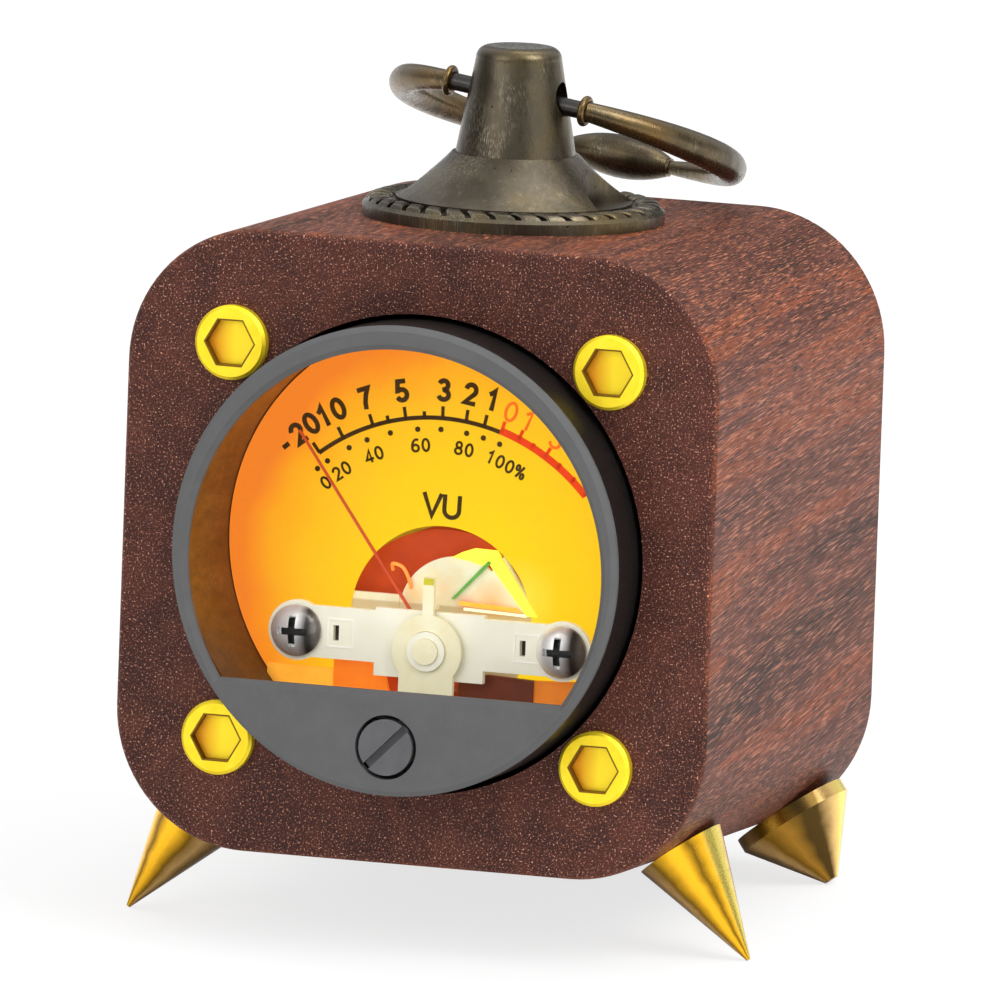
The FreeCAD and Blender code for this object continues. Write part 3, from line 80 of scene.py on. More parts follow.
def new_node(tree, kind, inputs=None, **settings):
    """A node, with its sockets linked or set."""
    node = tree.nodes.new(kind)
    for name, setting in settings.items():
        setattr(node, name, setting)
    for socket, source in (inputs or {}).items():
        if isinstance(source, bpy.types.NodeSocket):
            tree.links.new(source, node.inputs[socket])
        else:
            node.inputs[socket].default_value = source
    return node


class Finish:
    """A procedural material, whose patterns run in the block's own frame, in millimetres."""

    def __init__(self, name, **settings):
        self.material = bpy.data.materials.new(name)
        self.material.use_nodes = True
        self.tree = self.material.node_tree
        self.shader = self.tree.nodes["Principled BSDF"]
        for socket, setting in settings.items():
            self.shader.inputs[socket.replace("_", " ")].default_value = setting
        self.coordinates = self.add("ShaderNodeTexCoord")
        inverse = BLOCK.inverted()
        self.millimetres = self.add(
            "ShaderNodeMapping", {"Vector": self.coordinates.outputs["Object"],
                                  "Location": inverse.translation,
                                  "Rotation": inverse.to_euler(),
                                  "Scale": inverse.to_scale()}).outputs["Vector"]

    def add(self, kind, inputs=None, **settings):
        return new_node(self.tree, kind, inputs, **settings)

    def link(self, source, socket):
        self.tree.links.new(source, self.shader.inputs[socket])

    def noise(self, size, detail=2.0, roughness=0.5, distortion=0.0, at=None):
        """Noise whose lumps have that size along x, y and z."""
        place = self.add("ShaderNodeMapping", {"Vector": at or self.millimetres, "Scale": size},
                         vector_type="TEXTURE")
        return self.add("ShaderNodeTexNoise", {
            "Vector": place.outputs["Vector"], "Scale": 1.0, "Detail": detail,
            "Roughness": roughness, "Distortion": distortion}).outputs["Fac"]

    def specks(self, size, radius):
        """Small round specks, one in each cell of that size: 1 inside, 0 outside."""
        place = self.add("ShaderNodeMapping", {"Vector": self.millimetres,
                                               "Scale": (size, size, size)},
                         vector_type="TEXTURE")
        cells = self.add("ShaderNodeTexVoronoi", {"Vector": place.outputs["Vector"],
                                                  "Scale": 1.0})
        return self.between(cells.outputs["Distance"], radius, radius * 0.5, 0, 1)

    def between(self, source, low, high, start, end):
        """The source's low to high, as start to end."""
        return self.add("ShaderNodeMapRange", {
            "Value": source, "From Min": low, "From Max": high, "To Min": start,
            "To Max": end}).outputs["Result"]

    def math(self, operation, first, second=0.0):
        return self.add("ShaderNodeMath", {0: first, 1: second},
                        operation=operation).outputs["Value"]

    def sum(self, first, second):
        return self.math("ADD", first, second)

    def times(self, first, second):
        return self.math("MULTIPLY", first, second)

    def vector(self, operation, first, second, output="Vector"):
        return self.add("ShaderNodeVectorMath", {0: first, 1: second},
                        operation=operation).outputs[output]

    def ramp(self, source, *stops):
        """The colours along the source, each stop a place from 0 to 1 and a colour."""
        node = self.add("ShaderNodeValToRGB", {"Fac": source})
        elements = node.color_ramp.elements
        for _ in stops[2:]:
            elements.new(0.5)
        for element, (place, colour) in zip(elements, stops):
            element.position = place
            element.color = colour
        return node.outputs["Color"]

    def blend(self, share, first, second):
        """The first colour, with that share of the second over it."""
        node = self.add("ShaderNodeMix", {"Factor": share}, data_type="RGBA")
        for socket, source in zip(node.inputs[6:8], (first, second)):
            if isinstance(source, bpy.types.NodeSocket):
                self.tree.links.new(source, socket)
            else:
                socket.default_value = source
        return node.outputs[2]

    def bump(self, height, depth):
        """Raised and sunk detail of that depth, over any bump made before."""
        node = self.add("ShaderNodeBump", {"Height": height, "Distance": depth * MM,
                                           "Strength": 1.0})
        earlier = self.shader.inputs["Normal"].links
        if earlier:
            self.tree.links.new(earlier[0].from_socket, node.inputs["Normal"])
        self.link(node.outputs["Normal"], "Normal")

    def along(self, direction):
        """How far the surface faces that way: 1 squarely, 0 sideways, -1 away."""
        return self.vector("DOT_PRODUCT", self.coordinates.outputs["Normal"], direction, "Value")

    def part_of(self, axis):
        return self.add("ShaderNodeSeparateXYZ", {"Vector": self.millimetres}).outputs[axis]

    def mirrored(self, *sides):
        """The place with those of its x, y and z made positive, so that a pattern repeats."""
        join = {axis: self.math("ABSOLUTE", self.part_of(axis)) if axis in sides
                else self.part_of(axis) for axis in "XYZ"}
        return self.add("ShaderNodeCombineXYZ", join).outputs["Vector"]

    def right_of(self, reach):
        """How far right a place lies of the nearer of two lines, that far left and right."""
        side = self.math("SIGN", self.part_of("X"))
        return self.math("SUBTRACT", self.part_of("X"), self.times(side, reach))

    def risen(self, low, high):
        """The place, lowered as lines climb backwards: by low at the foot, by high at the top."""
        steep = self.between(self.part_of("Z"), -30, 30, low, high)
        drop = self.add("ShaderNodeCombineXYZ", {"Z": self.times(steep, self.part_of("Y"))})
        return self.vector("SUBTRACT", self.millimetres, drop.outputs["Vector"])

    def shade(self, reach):
        """How open a place is, from 0 in a corner to 1, within that reach in millimetres."""
        return self.add("ShaderNodeAmbientOcclusion", {"Distance": reach * MM},
                        samples=6).outputs["AO"]

    def radius(self, x, z, place=None):
        """The distance in millimetres from a line that runs backwards through x and z."""
        flat = self.vector("MULTIPLY", place or self.millimetres, (1, 0, 1))
        return self.vector("DISTANCE", flat, (x, 0, z), "Value")

    def across(self, x, z, place, turn):
        """How far a place lies from the line through x and z, measured at that turn in degrees."""
        angle = math.radians(turn)
        off = self.vector("SUBTRACT", place, (x, 0, z))
        way = (math.cos(angle), 0, math.sin(angle))
        return self.math("ABSOLUTE", self.vector("DOT_PRODUCT", off, way, "Value"))

    def roughen(self, source, low, high):
        """A roughness from low to high, as the source's marks come and go."""
        self.link(self.between(source, 0.3, 0.7, low, high), "Roughness")

    def marks(self, size, low, high, depth=0.004):
        """Fine marks of that size, in the surface and in its roughness from low to high."""
        noise = self.noise(size, 2, 0.6)
        self.roughen(noise, low, high)
        self.bump(noise, depth)


def wood():
    """Oiled reddish hardwood: long grain along the block, darker speckled end grain in front."""
    finish = Finish("oiled_hardwood", Coat_Weight=0.03, Coat_Roughness=0.35,
                    Specular_IOR_Level=0.16)
    grain = finish.risen(0.27, 0.05)
    bands = finish.noise((6, 90, 6), 3, 0.6, 0.6, grain)
    streaks = finish.noise((0.8, 18, 0.8), 3, 0.6, 0.3, grain)
    fibres = finish.noise((0.14, 2.8, 0.14), 2, 0.6, at=grain)
    pores = finish.noise((0.13, 1.8, 0.13), 1, 0.5, at=grain)
    figure = finish.sum(finish.times(bands, 0.6), finish.times(streaks, 0.4))
    long_grain = finish.ramp(
        figure, (0.36, srgb(44, 20, 13)), (0.45, srgb(82, 41, 28)), (0.52, srgb(92, 51, 40)),
        (0.58, srgb(122, 60, 32)), (0.68, srgb(80, 38, 25)))
    long_grain = finish.blend(finish.between(fibres, 0.54, 0.66, 0, 0.75), long_grain,
                              srgb(184, 114, 80))
    long_grain = finish.blend(finish.between(pores, 0.45, 0.36, 0, 0.85), long_grain,
                              srgb(32, 14, 10))
    end_grain = finish.ramp(bands, (0.38, srgb(58, 30, 26)), (0.62, srgb(80, 42, 34)))
    spots = finish.noise((0.2, 1.2, 0.2), 2, 0.6)
    holes = finish.noise((0.16, 1.3, 0.16), 1, 0.5)
    glints = finish.noise((0.19, 0.6, 0.19), 1, 0.5)
    end_grain = finish.blend(finish.between(holes, 0.44, 0.35, 0, 0.85), end_grain,
                             srgb(22, 9, 8))
    end_grain = finish.blend(finish.between(spots, 0.55, 0.66, 0, 0.7), end_grain,
                             srgb(138, 80, 60))
    end_grain = finish.blend(finish.between(glints, 0.635, 0.7, 0, 0.85), end_grain,
                             srgb(212, 156, 130))
    end = finish.between(finish.math("ABSOLUTE", finish.along(BACKWARDS)), 0.55, 0.85, 0, 1)
    finish.link(finish.blend(end, long_grain, end_grain), "Base Color")
    finish.roughen(fibres, 0.62, 0.42)
    finish.bump(fibres, 0.03)
    finish.bump(pores, 0.03)
    return finish


def bronze(name, *tones, pin_reach=None):
    """Antique bronze: brown-grey patina, rubbed bright in places, with small pits and scratches.

    Within pin_reach of the pull's upright middle line it is bare gun-metal.
    """
    finish = Finish(name, Metallic=0.9)
    patina = finish.noise((7, 7, 9), 3, 0.5)
    rubbed = finish.noise((0.5, 0.5, 4), 4, 0.65)
    dents = finish.noise((2.2, 2.2, 3.2), 2, 0.4)
    scratches = finish.noise((0.09, 0.09, 2.6), 2, 0.5, at=finish.risen(0.45, 0.45))
    worn = finish.noise((6, 6, 6), 2, 0.5)
    pits = finish.specks(1.7, 0.07)
    colour = finish.ramp(patina, *zip((0.34, 0.5, 0.66), tones))
    marks = finish.times(finish.between(scratches, 0.54, 0.68, 0, 0.55),
                         finish.between(worn, 0.52, 0.62, 0, 1))
    colour = finish.blend(marks, colour, srgb(164, 154, 134))
    colour = finish.blend(finish.between(rubbed, 0.58, 0.8, 0, 0.35), colour, srgb(140, 131, 112))
    colour = finish.blend(pits, colour, srgb(30, 26, 20))
    finish.link(colour, "Base Color")
    finish.roughen(rubbed, 0.36, 0.2)
    finish.bump(dents, 0.08)
    finish.bump(scratches, 0.015)
    finish.bump(finish.math("SUBTRACT", 1.0, pits), 0.04)
    if pin_reach:
        level = finish.vector("MULTIPLY", finish.millimetres, (1, 1, 0))
        off = finish.vector("DISTANCE", level, (0, PULL_DEPTH, 0), "Value")
        pins = finish.between(off, pin_reach, pin_reach - 0.1, 0, 1)
        finish.link(finish.blend(pins, colour, srgb(62, 60, 58)), "Base Color")
    return finish


def metal(name, dark, light, roughness, wear=0.1, size=(1.2, 1.2, 1.2), **settings):
    """Plated or polished metal, with slow changes of colour and fine tool marks."""
    finish = Finish(name, Metallic=1.0, **settings)
    tone = finish.noise(size, 4, 0.6)
    finish.link(finish.ramp(tone, (0.3, dark), (0.7, light)), "Base Color")
    finish.marks((0.08, 0.6, 0.08), roughness - wear / 2, roughness + wear / 2)
    return finish


def plastic(name, dark, light, roughness, depth=0.01, wear=0.12, **settings):
    """Moulded plastic or lacquer, with fine texture and slow changes of colour."""
    finish = Finish(name, **settings)
    tone = finish.noise((2.5, 2.5, 2.5), 3, 0.6)
    finish.link(finish.ramp(tone, (0.3, dark), (0.7, light)), "Base Color")
    finish.marks((0.12, 0.12, 0.12), roughness - wear / 2, roughness + wear / 2, depth)
    return finish


def spike():
    """Polished gold spikes, with a painted reflection: bright and dark bands painted along each cone."""
    finish = Finish("polished_gold", Metallic=1.0, Roughness=0.24)
    side = finish.math("SIGN", finish.part_of("X"))
    turn = BLOCK.to_3x3().normalized()
    outer, upper, before = [finish.along(tuple(turn @ Vector(way))) for way in (
        (math.cos(SPLAY), 0, 0), (0, 0, math.sin(SPLAY)), (0, -1, 0))]
    outwards = finish.sum(finish.times(outer, side), upper)
    around = finish.math("ARCTAN2", outwards, before)
    unevenness = 0.25
    wobble = finish.times(finish.noise((2, 2, 2), 2, 0.5), unevenness)
    middle = unevenness / 2
    share = finish.between(finish.sum(around, wobble), middle - math.pi, middle + math.pi, 0, 1)
    # Tones of the painted reflection, banded by the way the surface faces round the cone: one set for the front
    # feet, one for the rear.
    dark, olive, gold = srgb(80, 62, 30), srgb(122, 90, 24), srgb(246, 186, 42)
    tan, pale, brown = srgb(214, 176, 112), srgb(255, 232, 118), srgb(168, 124, 46)
    front = ((-178, brown), (-130, pale), (-100, dark), (-66, olive), (-44, tan), (-24, olive),
             (2, gold), (16, gold), (32, olive), (48, gold), (64, pale), (84, pale), (104, brown),
             (128, gold), (150, olive), (178, brown))
    rear = ((-178, brown), (-110, tan), (-60, dark), (-38, tan), (-16, olive), (4, brown),
            (26, dark), (46, dark), (66, tan), (90, pale), (110, tan), (150, olive),
            (178, brown))
    front_feet_reflection, rear_feet_reflection = [finish.ramp(share, *(((angle + 180) / 360, tint) for angle, tint in bands))
                        for bands in (front, rear)]
    behind = finish.between(finish.part_of("Y"), REAR_FEET, REAR_FEET + 1, 0, 1)
    finish.link(finish.blend(behind, front_feet_reflection, rear_feet_reflection), "Base Color")
    finish.marks((0.08, 0.6, 0.08), 0.2, 0.3)
    return finish


def hex_brass():
    """Bright yellow screw heads, with painted shade in each hexagon socket: a dark line along its rim and an amber
    shade, deeper to the left.
    """
    finish = Finish("yellow_brass", Metallic=0.7)
    place = finish.mirrored("X", "Z")
    across = finish.across(*HEX_PLACE, place, 90)
    for turn in (30, 150):
        across = finish.math("MAXIMUM", across, finish.across(*HEX_PLACE, place, turn))
    tone = finish.noise((1.6, 1.6, 1.6), 3, 0.6)
    face = finish.ramp(tone, (0.3, srgb(250, 216, 34)), (0.7, srgb(255, 230, 52)))
    # Painted shade: the socket turns amber towards its left side, and a dark line is painted just inside its rim.
    left = finish.between(finish.right_of(HEX_PLACE[0]), 0.3, -1.7, 0, 0.9)
    amber = finish.blend(left, srgb(255, 224, 46), srgb(226, 142, 22))
    inside = finish.between(finish.part_of("Y"), -1.0, -0.95, 0, 1)
    recess = finish.times(inside, finish.between(across, HEX_SOCKET, HEX_SOCKET - 0.05, 0, 1))
    line = finish.times(finish.between(across, HEX_SOCKET, HEX_SOCKET - 0.04, 0, 1),
                        finish.between(across, HEX_SOCKET - 0.24, HEX_SOCKET - 0.18, 0, 1))
    colour = finish.blend(recess, face, amber)
    finish.link(finish.blend(line, colour, srgb(118, 84, 14)), "Base Color")
    finish.marks((0.1, 0.1, 0.1), 0.4, 0.52)
    return finish


def dome_screws():
    """Bright plated dome heads, with painted shade, black in the cross recess, and a painted reflection, dark
    right of each middle and paler at the right edge.
    """
    finish = Finish("nickel_plate", Metallic=0.35)
    tone = finish.noise((1.2, 1.2, 1.2), 3, 0.6)
    reach = finish.radius(*DOME_PLACE, finish.mirrored("X"))
    dome = finish.sum(finish.math("DIVIDE", finish.times(reach, reach), DOME_ROUND), DOME_FRONT)
    depth = finish.math("SUBTRACT", finish.part_of("Y"), dome)
    # Painted shade: black in the cross, below the dome's surface.
    cross = finish.times(finish.between(depth, 0.08, 0.16, 0, 1),
                         finish.between(reach, 1.32, 1.28, 0, 1))
    plate = finish.ramp(tone, (0.3, srgb(240, 239, 237)), (0.7, srgb(255, 254, 252)))
    # Painted reflection: dark to the right of each head's middle, paler again near its right edge.
    off = finish.right_of(DOME_PLACE[0])
    plate = finish.blend(finish.between(off, 0.5, 1.3, 0, 1), plate, srgb(72, 68, 64))
    plate = finish.blend(finish.between(off, 1.6, 2.1, 0, 0.6), plate, srgb(170, 166, 160))
    finish.link(finish.blend(cross, plate, srgb(12, 10, 8)), "Base Color")
    finish.marks((0.1, 0.1, 0.1), 0.14, 0.26, 0.003)
    return finish


def shell():
    """The black housing, whose inner wall in front of the dial is tinted amber and glows with painted light from
    the dial.
    """
    finish = Finish("lit_housing", Specular_IOR_Level=0.3, Emission_Strength=0.3)
    texture = finish.noise((0.3, 0.3, 0.3), 2, 0.6)
    streaks = finish.noise((6, 3, 1.2), 3, 0.6)
    wall = 22.1
    inside = finish.times(
        finish.between(finish.radius(0, 0), wall, wall - 0.15, 0, 1),
        finish.between(finish.part_of("Y"), DIAL_FRONT + 0.2, DIAL_FRONT - 0.1, 0, 1))
    amber = finish.ramp(streaks, (0.3, srgb(104, 56, 12)), (0.55, srgb(128, 76, 20)),
                        (0.75, srgb(150, 92, 30)))
    # Painted shade towards the bottom of the inner wall, and painted light towards its top.
    amber = finish.blend(finish.between(finish.part_of("Z"), -6, -16, 0, 0.8), amber,
                         srgb(50, 24, 10))
    amber = finish.blend(finish.between(finish.part_of("Z"), 8, 19, 0, 0.6), amber,
                         srgb(196, 116, 24))
    black = finish.ramp(texture, (0.3, srgb(14, 12, 12)), (0.7, srgb(26, 23, 22)))
    finish.link(finish.blend(finish.times(inside, 0.4), black, amber), "Base Color")
    finish.link(finish.blend(inside, (0, 0, 0, 1), amber), "Emission Color")
    finish.roughen(texture, 0.34, 0.5)
    finish.bump(texture, 0.01)
    return finish


def dial():
    """The dial, lit from behind, with its glow painted in: yellow in the middle, orange towards its edge, partly
    its own tint and partly a painted fall-off of the light.
    """
    finish = Finish("lit_dial", Roughness=0.7, Specular_IOR_Level=0.1, Emission_Strength=0.97)
    reach = finish.radius(3.6, -3.2)
    paper = finish.noise((0.5, 0.5, 0.5), 3, 0.6)
    clouds = finish.noise((7, 7, 7), 2, 0.5)
    uneven = finish.sum(paper, finish.times(clouds, 3.5))
    glow = finish.between(finish.sum(reach, uneven), 2, 26, 0, 1)
    colour = finish.ramp(glow, (0.2, srgb(252, 214, 20)), (0.5, srgb(252, 204, 24)),
                         (0.72, srgb(252, 190, 28)), (0.87, srgb(252, 168, 28)),
                         (0.95, srgb(250, 144, 32)), (1.0, srgb(244, 130, 36)))
    # A painted pool of brighter light, to the right of the scale's middle.
    hot = finish.between(finish.radius(8.2, -4.4), 4.2, 0.5, 0, 0.5)
    colour = finish.blend(hot, colour, srgb(255, 240, 90))
    finish.link(finish.blend(0.9, colour, (0, 0, 0, 1)), "Base Color")
    finish.link(colour, "Emission Color")
    finish.bump(paper, 0.01)
    return finish


def window():
    """Clear acrylic, with the faintest haze."""
    finish = Finish("clear_acrylic", IOR=1.49)
    haze = finish.noise((3, 3, 3), 3, 0.6)
    finish.link(finish.ramp(haze, (0.3, srgb(120, 122, 122)), (0.7, srgb(150, 150, 148))),
                "Base Color")
    finish.link(finish.between(haze, 0.3, 0.7, 0.004, 0.012), "Alpha")
    finish.roughen(haze, 0.03, 0.08)
    return finish


def board():
    """Green solder mask, with lighter lines of copper under it."""
    finish = Finish("solder_mask", Coat_Weight=0.4)
    upright = finish.add("ShaderNodeMapping", {"Vector": finish.millimetres,
                                               "Rotation": (math.pi / 2, 0, 0)})
    tracks = finish.add("ShaderNodeTexBrick", {
        "Vector": upright.outputs["Vector"], "Scale": 0.55, "Mortar Size": 0.03,
        "Color1": srgb(10, 72, 34), "Color2": srgb(14, 84, 40), "Mortar": srgb(40, 130, 66)})
    tone = finish.noise((1.5, 1.5, 1.5), 3, 0.6)
    finish.link(finish.blend(finish.between(tone, 0.3, 0.7, 0, 0.4), tracks.outputs["Color"],
                             srgb(8, 58, 28)), "Base Color")
    finish.roughen(tone, 0.3, 0.42)
    finish.bump(tracks.outputs["Fac"], 0.03)
    return finish


def lamp():
    """A warm lamp lens, bright at its tip."""
    finish = Finish("warm_lamp", Roughness=0.2, Emission_Strength=1.5)
    tone = finish.noise((0.8, 0.8, 0.8), 2, 0.5)
    colour = finish.ramp(tone, (0.3, srgb(255, 214, 140)), (0.7, srgb(255, 240, 200)))
    finish.link(colour, "Base Color")
    finish.link(colour, "Emission Color")
    return finish


def lit(name, dark, light, roughness, strength=0.3, **settings):
    """A plastic that also glows a little with painted light, for the light of the dial and the lamps behind it,
    and painted shade where that glow fades in corners.
    """
    # Painted shade: by ambient occlusion within corner_reach, the glow falls to corner_glow of its colour in
    # corners and creases.
    corner_glow, corner_reach = 0.3, 1.2
    finish = plastic(name, dark, light, roughness, Emission_Strength=strength, **settings)
    shaded_glow = tuple(level * corner_glow for level in light[:3]) + (1,)
    openness = finish.between(finish.shade(corner_reach), 0.35, 0.95, 0, 1)
    finish.link(finish.blend(openness, shaded_glow, light), "Emission Color")
    return finish


def glowing_plate():
    """The movement's plate, pale, with painted pools of amber and pink light from the pieces behind it, and
    painted shade below its shoulder.
    """
    finish = lit("lit_plate", srgb(234, 226, 184), srgb(248, 243, 214), 0.45, 0.22)
    colour = finish.shader.inputs["Base Color"].links[0].from_socket
    # Painted pools of coloured light: each its x, z, reach, strength and tint.
    for x, z, reach, strength, tint in (
            (5.4, -5, 2.6, 0.7, srgb(250, 178, 70)), (-2.6, -4.8, 1.6, 0.6, srgb(252, 196, 80)),
            (0.4, -4.1, 1.8, 0.5, srgb(240, 190, 120)), (2.6, -5.4, 1.3, 0.6, srgb(226, 110, 50)),
            (-1.2, -3.2, 1.4, 0.35, srgb(255, 238, 120))):
        near = finish.between(finish.radius(x, z), reach, 0, 0, strength)
        colour = finish.blend(near, colour, tint)
    # Painted shade on the plate below the level of -5.6.
    low = finish.between(finish.part_of("Z"), -5.6, -5.8, 0, 0.6)
    colour = finish.blend(low, colour, srgb(186, 160, 104))
    finish.link(colour, "Base Color")
    finish.link(colour, "Emission Color")
    return finish


BRONZE_TONES = (srgb(66, 59, 48), srgb(84, 77, 64), srgb(96, 84, 58))
FINISHES = {
    "wood": wood(),
    "bronze": bronze("antique_bronze", *BRONZE_TONES),
    "brass": metal("turned_brass", srgb(214, 168, 52), srgb(240, 200, 84), 0.3),
    "spike_gold": spike(),
    "steel": metal("zinc_plate", srgb(150, 152, 156), srgb(196, 197, 200), 0.32),
    "chrome": dome_screws(),
    "aluminium": metal("drawn_aluminium", srgb(176, 178, 182), srgb(206, 207, 210), 0.36),
    "copper": metal("enamelled_copper", srgb(150, 72, 36), srgb(204, 112, 62), 0.3,
                    size=(0.06, 0.6, 0.06)),
    "spring_bronze": metal("hairspring_bronze", srgb(168, 128, 64), srgb(214, 176, 104), 0.28),
    "bezel": plastic("grey_bezel", srgb(85, 85, 86), srgb(90, 90, 91), 0.7,
                     Specular_IOR_Level=0.2),
    "black_plastic": plastic("black_plastic", srgb(16, 15, 15), srgb(28, 26, 25), 0.42,
                             Specular_IOR_Level=0.3),
    # The lit plastics glow with painted light, for the dial's light on them.
    "cream_plastic": lit("cream_plastic", srgb(234, 224, 180), srgb(246, 240, 206), 0.42, 0.24),
    "white_plastic": lit("white_plastic", srgb(234, 231, 208), srgb(246, 243, 222), 0.42, 0.24),
    "red_magnet": lit("red_lacquer", srgb(166, 56, 18), srgb(190, 70, 24), 0.5, 0.3,
                      Specular_IOR_Level=0.15),
    "needle": lit("needle_paint", srgb(176, 50, 10), srgb(198, 68, 14), 0.5, 0.4),
    "chip": plastic("chip_epoxy", srgb(34, 34, 36), srgb(48, 48, 50), 0.5),
    "blue_plastic": plastic("blue_plastic", srgb(34, 82, 168), srgb(48, 100, 190), 0.36),
    "dial": dial(),
    "window": window(),
    "board": board(),
    "lamp": lamp(),
}
NODE_FINISHES = {
    "front_hex_screws": hex_brass(),
    "meter_shell": shell(),
    "movement_plate": glowing_plate(),
    "zero_adjust_screw": plastic("grey_slotted_screw", srgb(84, 84, 86), srgb(92, 92, 94), 0.6,
                                 Specular_IOR_Level=0.2),
    "pull_ring": bronze("ring_bronze", srgb(64, 56, 44), srgb(92, 80, 58), srgb(108, 84, 48),
                        pin_reach=PIN_REACH),
}
for part in frame["record"]["subparts"]:
    node_mesh = frame["nodes"][part["node"]].data
    node_mesh.materials.clear()
    chosen = NODE_FINISHES.get(part["node"], FINISHES[part["material_slot"]])
    node_mesh.materials.append(chosen.material)


# Pieces

def piece(name, mesh, body, slot, finish=None):
    """An object drawn in the block's frame, set in place and riding on its body."""
    mesh.transform(BLOCK)
    mesh.materials.append((finish or FINISHES[slot]).material)
    thing = bpy.data.objects.new(name, mesh)
    bpy.context.scene.collection.objects.link(thing)
    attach(thing, body)
    return thing


def mesh_of(shape, name):
    """The drawn shape as a mesh, with its faces turned outwards."""
    bmesh.ops.recalc_face_normals(shape, faces=shape.faces)
    mesh = bpy.data.meshes.new(name)
    shape.to_mesh(mesh)
    shape.free()
    return mesh


def prisms(name, outlines, front, thickness):
    """A mesh of flat plates: each outline, a list of x and z, drawn at a depth."""
    shape = bmesh.new()
    for outline in outlines:
        rims = [[shape.verts.new((x, depth, z)) for x, z in outline]
                for depth in (front, front + thickness)]
        shape.faces.new(rims[0])
        shape.faces.new(reversed(rims[1]))
        for here in range(len(outline)):
            after = (here + 1) % len(outline)
            shape.faces.new((rims[0][after], rims[0][here], rims[1][here], rims[1][after]))
    return mesh_of(shape, name)


def on_dial(angle, radius):
    """A point of the dial, by its angle from upright in degrees and its reach from the middle."""
    turn = math.radians(angle)
    return radius * math.sin(turn) + SCALE_MIDDLE[0], radius * math.cos(turn) + SCALE_MIDDLE[1]


def arc_band(start, end, inner, outer, step=1.0):
    """The outline of a curved band between two angles and two radii."""
    count = max(2, round(abs(end - start) / step))
    angles = [start + (end - start) * part / count for part in range(count + 1)]
    return ([on_dial(angle, outer) for angle in angles]
            + [on_dial(angle, inner) for angle in reversed(angles)])


def tick(angle, inner, outer, width):
    """A narrow bar that points away from the middle of the arc."""
    turn = math.radians(angle)
    across = Vector((math.cos(turn), -math.sin(turn))) * width / 2
    ends = [Vector(on_dial(angle, radius)) for radius in (inner, outer)]
    return [tuple(ends[0] - across), tuple(ends[1] - across), tuple(ends[1] + across),
            tuple(ends[0] + across)]


def dot(angle, radius, size, sides=16):
    """A small round dot, by its angle and its reach from the middle."""
    x, z = on_dial(angle, radius)
    return [(x + size * math.sin(turn), z + size * math.cos(turn))
            for turn in (2 * math.pi * side / sides for side in range(sides))]


def bend(x, y, across, up, start, end, steps=9):
    """Points along part of an ellipse, from one angle in degrees to another."""
    angles = [math.radians(start + (end - start) * step / steps) for step in range(steps + 1)]
    return [(x + across * math.cos(angle), y + up * math.sin(angle)) for angle in angles]


# The middle lines of each figure's strokes, in a box that is one high.
STROKES = {
    "0": [bend(0.34, 0.5, 0.25, 0.43, 0, 360, 20)],
    "1": [[(0.15, 0.70), (0.28, 0.79), (0.40, 0.95), (0.40, 0.0)]],
    "2": [bend(0.34, 0.68, 0.24, 0.25, 175, -40) + [(0.10, 0.07), (0.62, 0.07)]],
    "3": [bend(0.32, 0.73, 0.21, 0.20, 165, -80) + bend(0.32, 0.28, 0.25, 0.22, 80, -165)],
    "4": [[(0.66, 0.27), (0.07, 0.27), (0.45, 0.92), (0.45, 0.0)]],
    "5": [[(0.58, 0.93), (0.20, 0.93), (0.14, 0.50)] + bend(0.33, 0.31, 0.25, 0.25, 130, -160)],
    "6": [bend(0.34, 0.31, 0.25, 0.24, 0, 360, 16), bend(0.44, 0.38, 0.35, 0.55, 65, 180)],
    "7": [[(0.07, 0.93), (0.60, 0.93), (0.42, 0.62), (0.30, 0.30), (0.26, 0.0)]],
    "8": [bend(0.34, 0.72, 0.20, 0.21, 0, 360, 14), bend(0.34, 0.28, 0.25, 0.22, 0, 360, 16)],
    "%": [bend(0.16, 0.74, 0.12, 0.19, 0, 360, 12), bend(0.64, 0.25, 0.12, 0.19, 0, 360, 12),
          [(0.60, 0.97), (0.20, 0.03)]],
    "-": [[(0.16, 0.40), (0.52, 0.40)]],
    "V": [[(-0.05, 1.0), (0.33, 0.06), (0.71, 1.0)]],
    "U": [[(0.05, 1.0)] + bend(0.37, 0.36, 0.32, 0.29, 180, 360) + [(0.69, 1.0)]],
}
BOX_MIDDLE = Vector((0.34, 0.5))
PITCH_SHARE = 0.81


def stroke(points, width):
    """Flat four-sided pieces that make one line of that width along the points."""
    spots = [Vector(point) for point in points]
    closed = (spots[0] - spots[-1]).length < 1e-6
    offsets = []
    for index, place in enumerate(spots):
        before = spots[index - 1] if index else (spots[-2] if closed else None)
        after = spots[index + 1] if index + 1 < len(spots) else (spots[1] if closed else None)
        ways = [way.normalized() for way in (
            place - before if before else None, after - place if after else None) if way]
        sides = [Vector((-way.y, way.x)) for way in ways]
        middle = sum(sides, Vector((0, 0))).normalized()
        offsets.append(middle * width / 2 / max(middle.dot(sides[0]), 0.5))
    return [[tuple(spots[k] - offsets[k]), tuple(spots[k + 1] - offsets[k + 1]),
             tuple(spots[k + 1] + offsets[k + 1]), tuple(spots[k] + offsets[k])]
            for k in range(len(spots) - 1)]


def words(label, x, z, turn, height, weight):
    """The outlines of a word: its middle, its turn in degrees, its height and its line's width."""
    swing = Matrix.Rotation(math.radians(-turn), 2)
    outlines = []
    for place, figure in enumerate(label):
        shift = Vector(((place - (len(label) - 1) / 2) * PITCH_SHARE, 0))
        for line in STROKES[figure]:
            for shape in stroke(line, weight):
                spots = [swing @ ((Vector(spot) - BOX_MIDDLE + shift) * height) for spot in shape]
                outlines.append([(x + spot.x, z + spot.y) for spot in spots])
    return outlines


# Print on the dial. Angles are in degrees from upright about the middle of the printed arc.

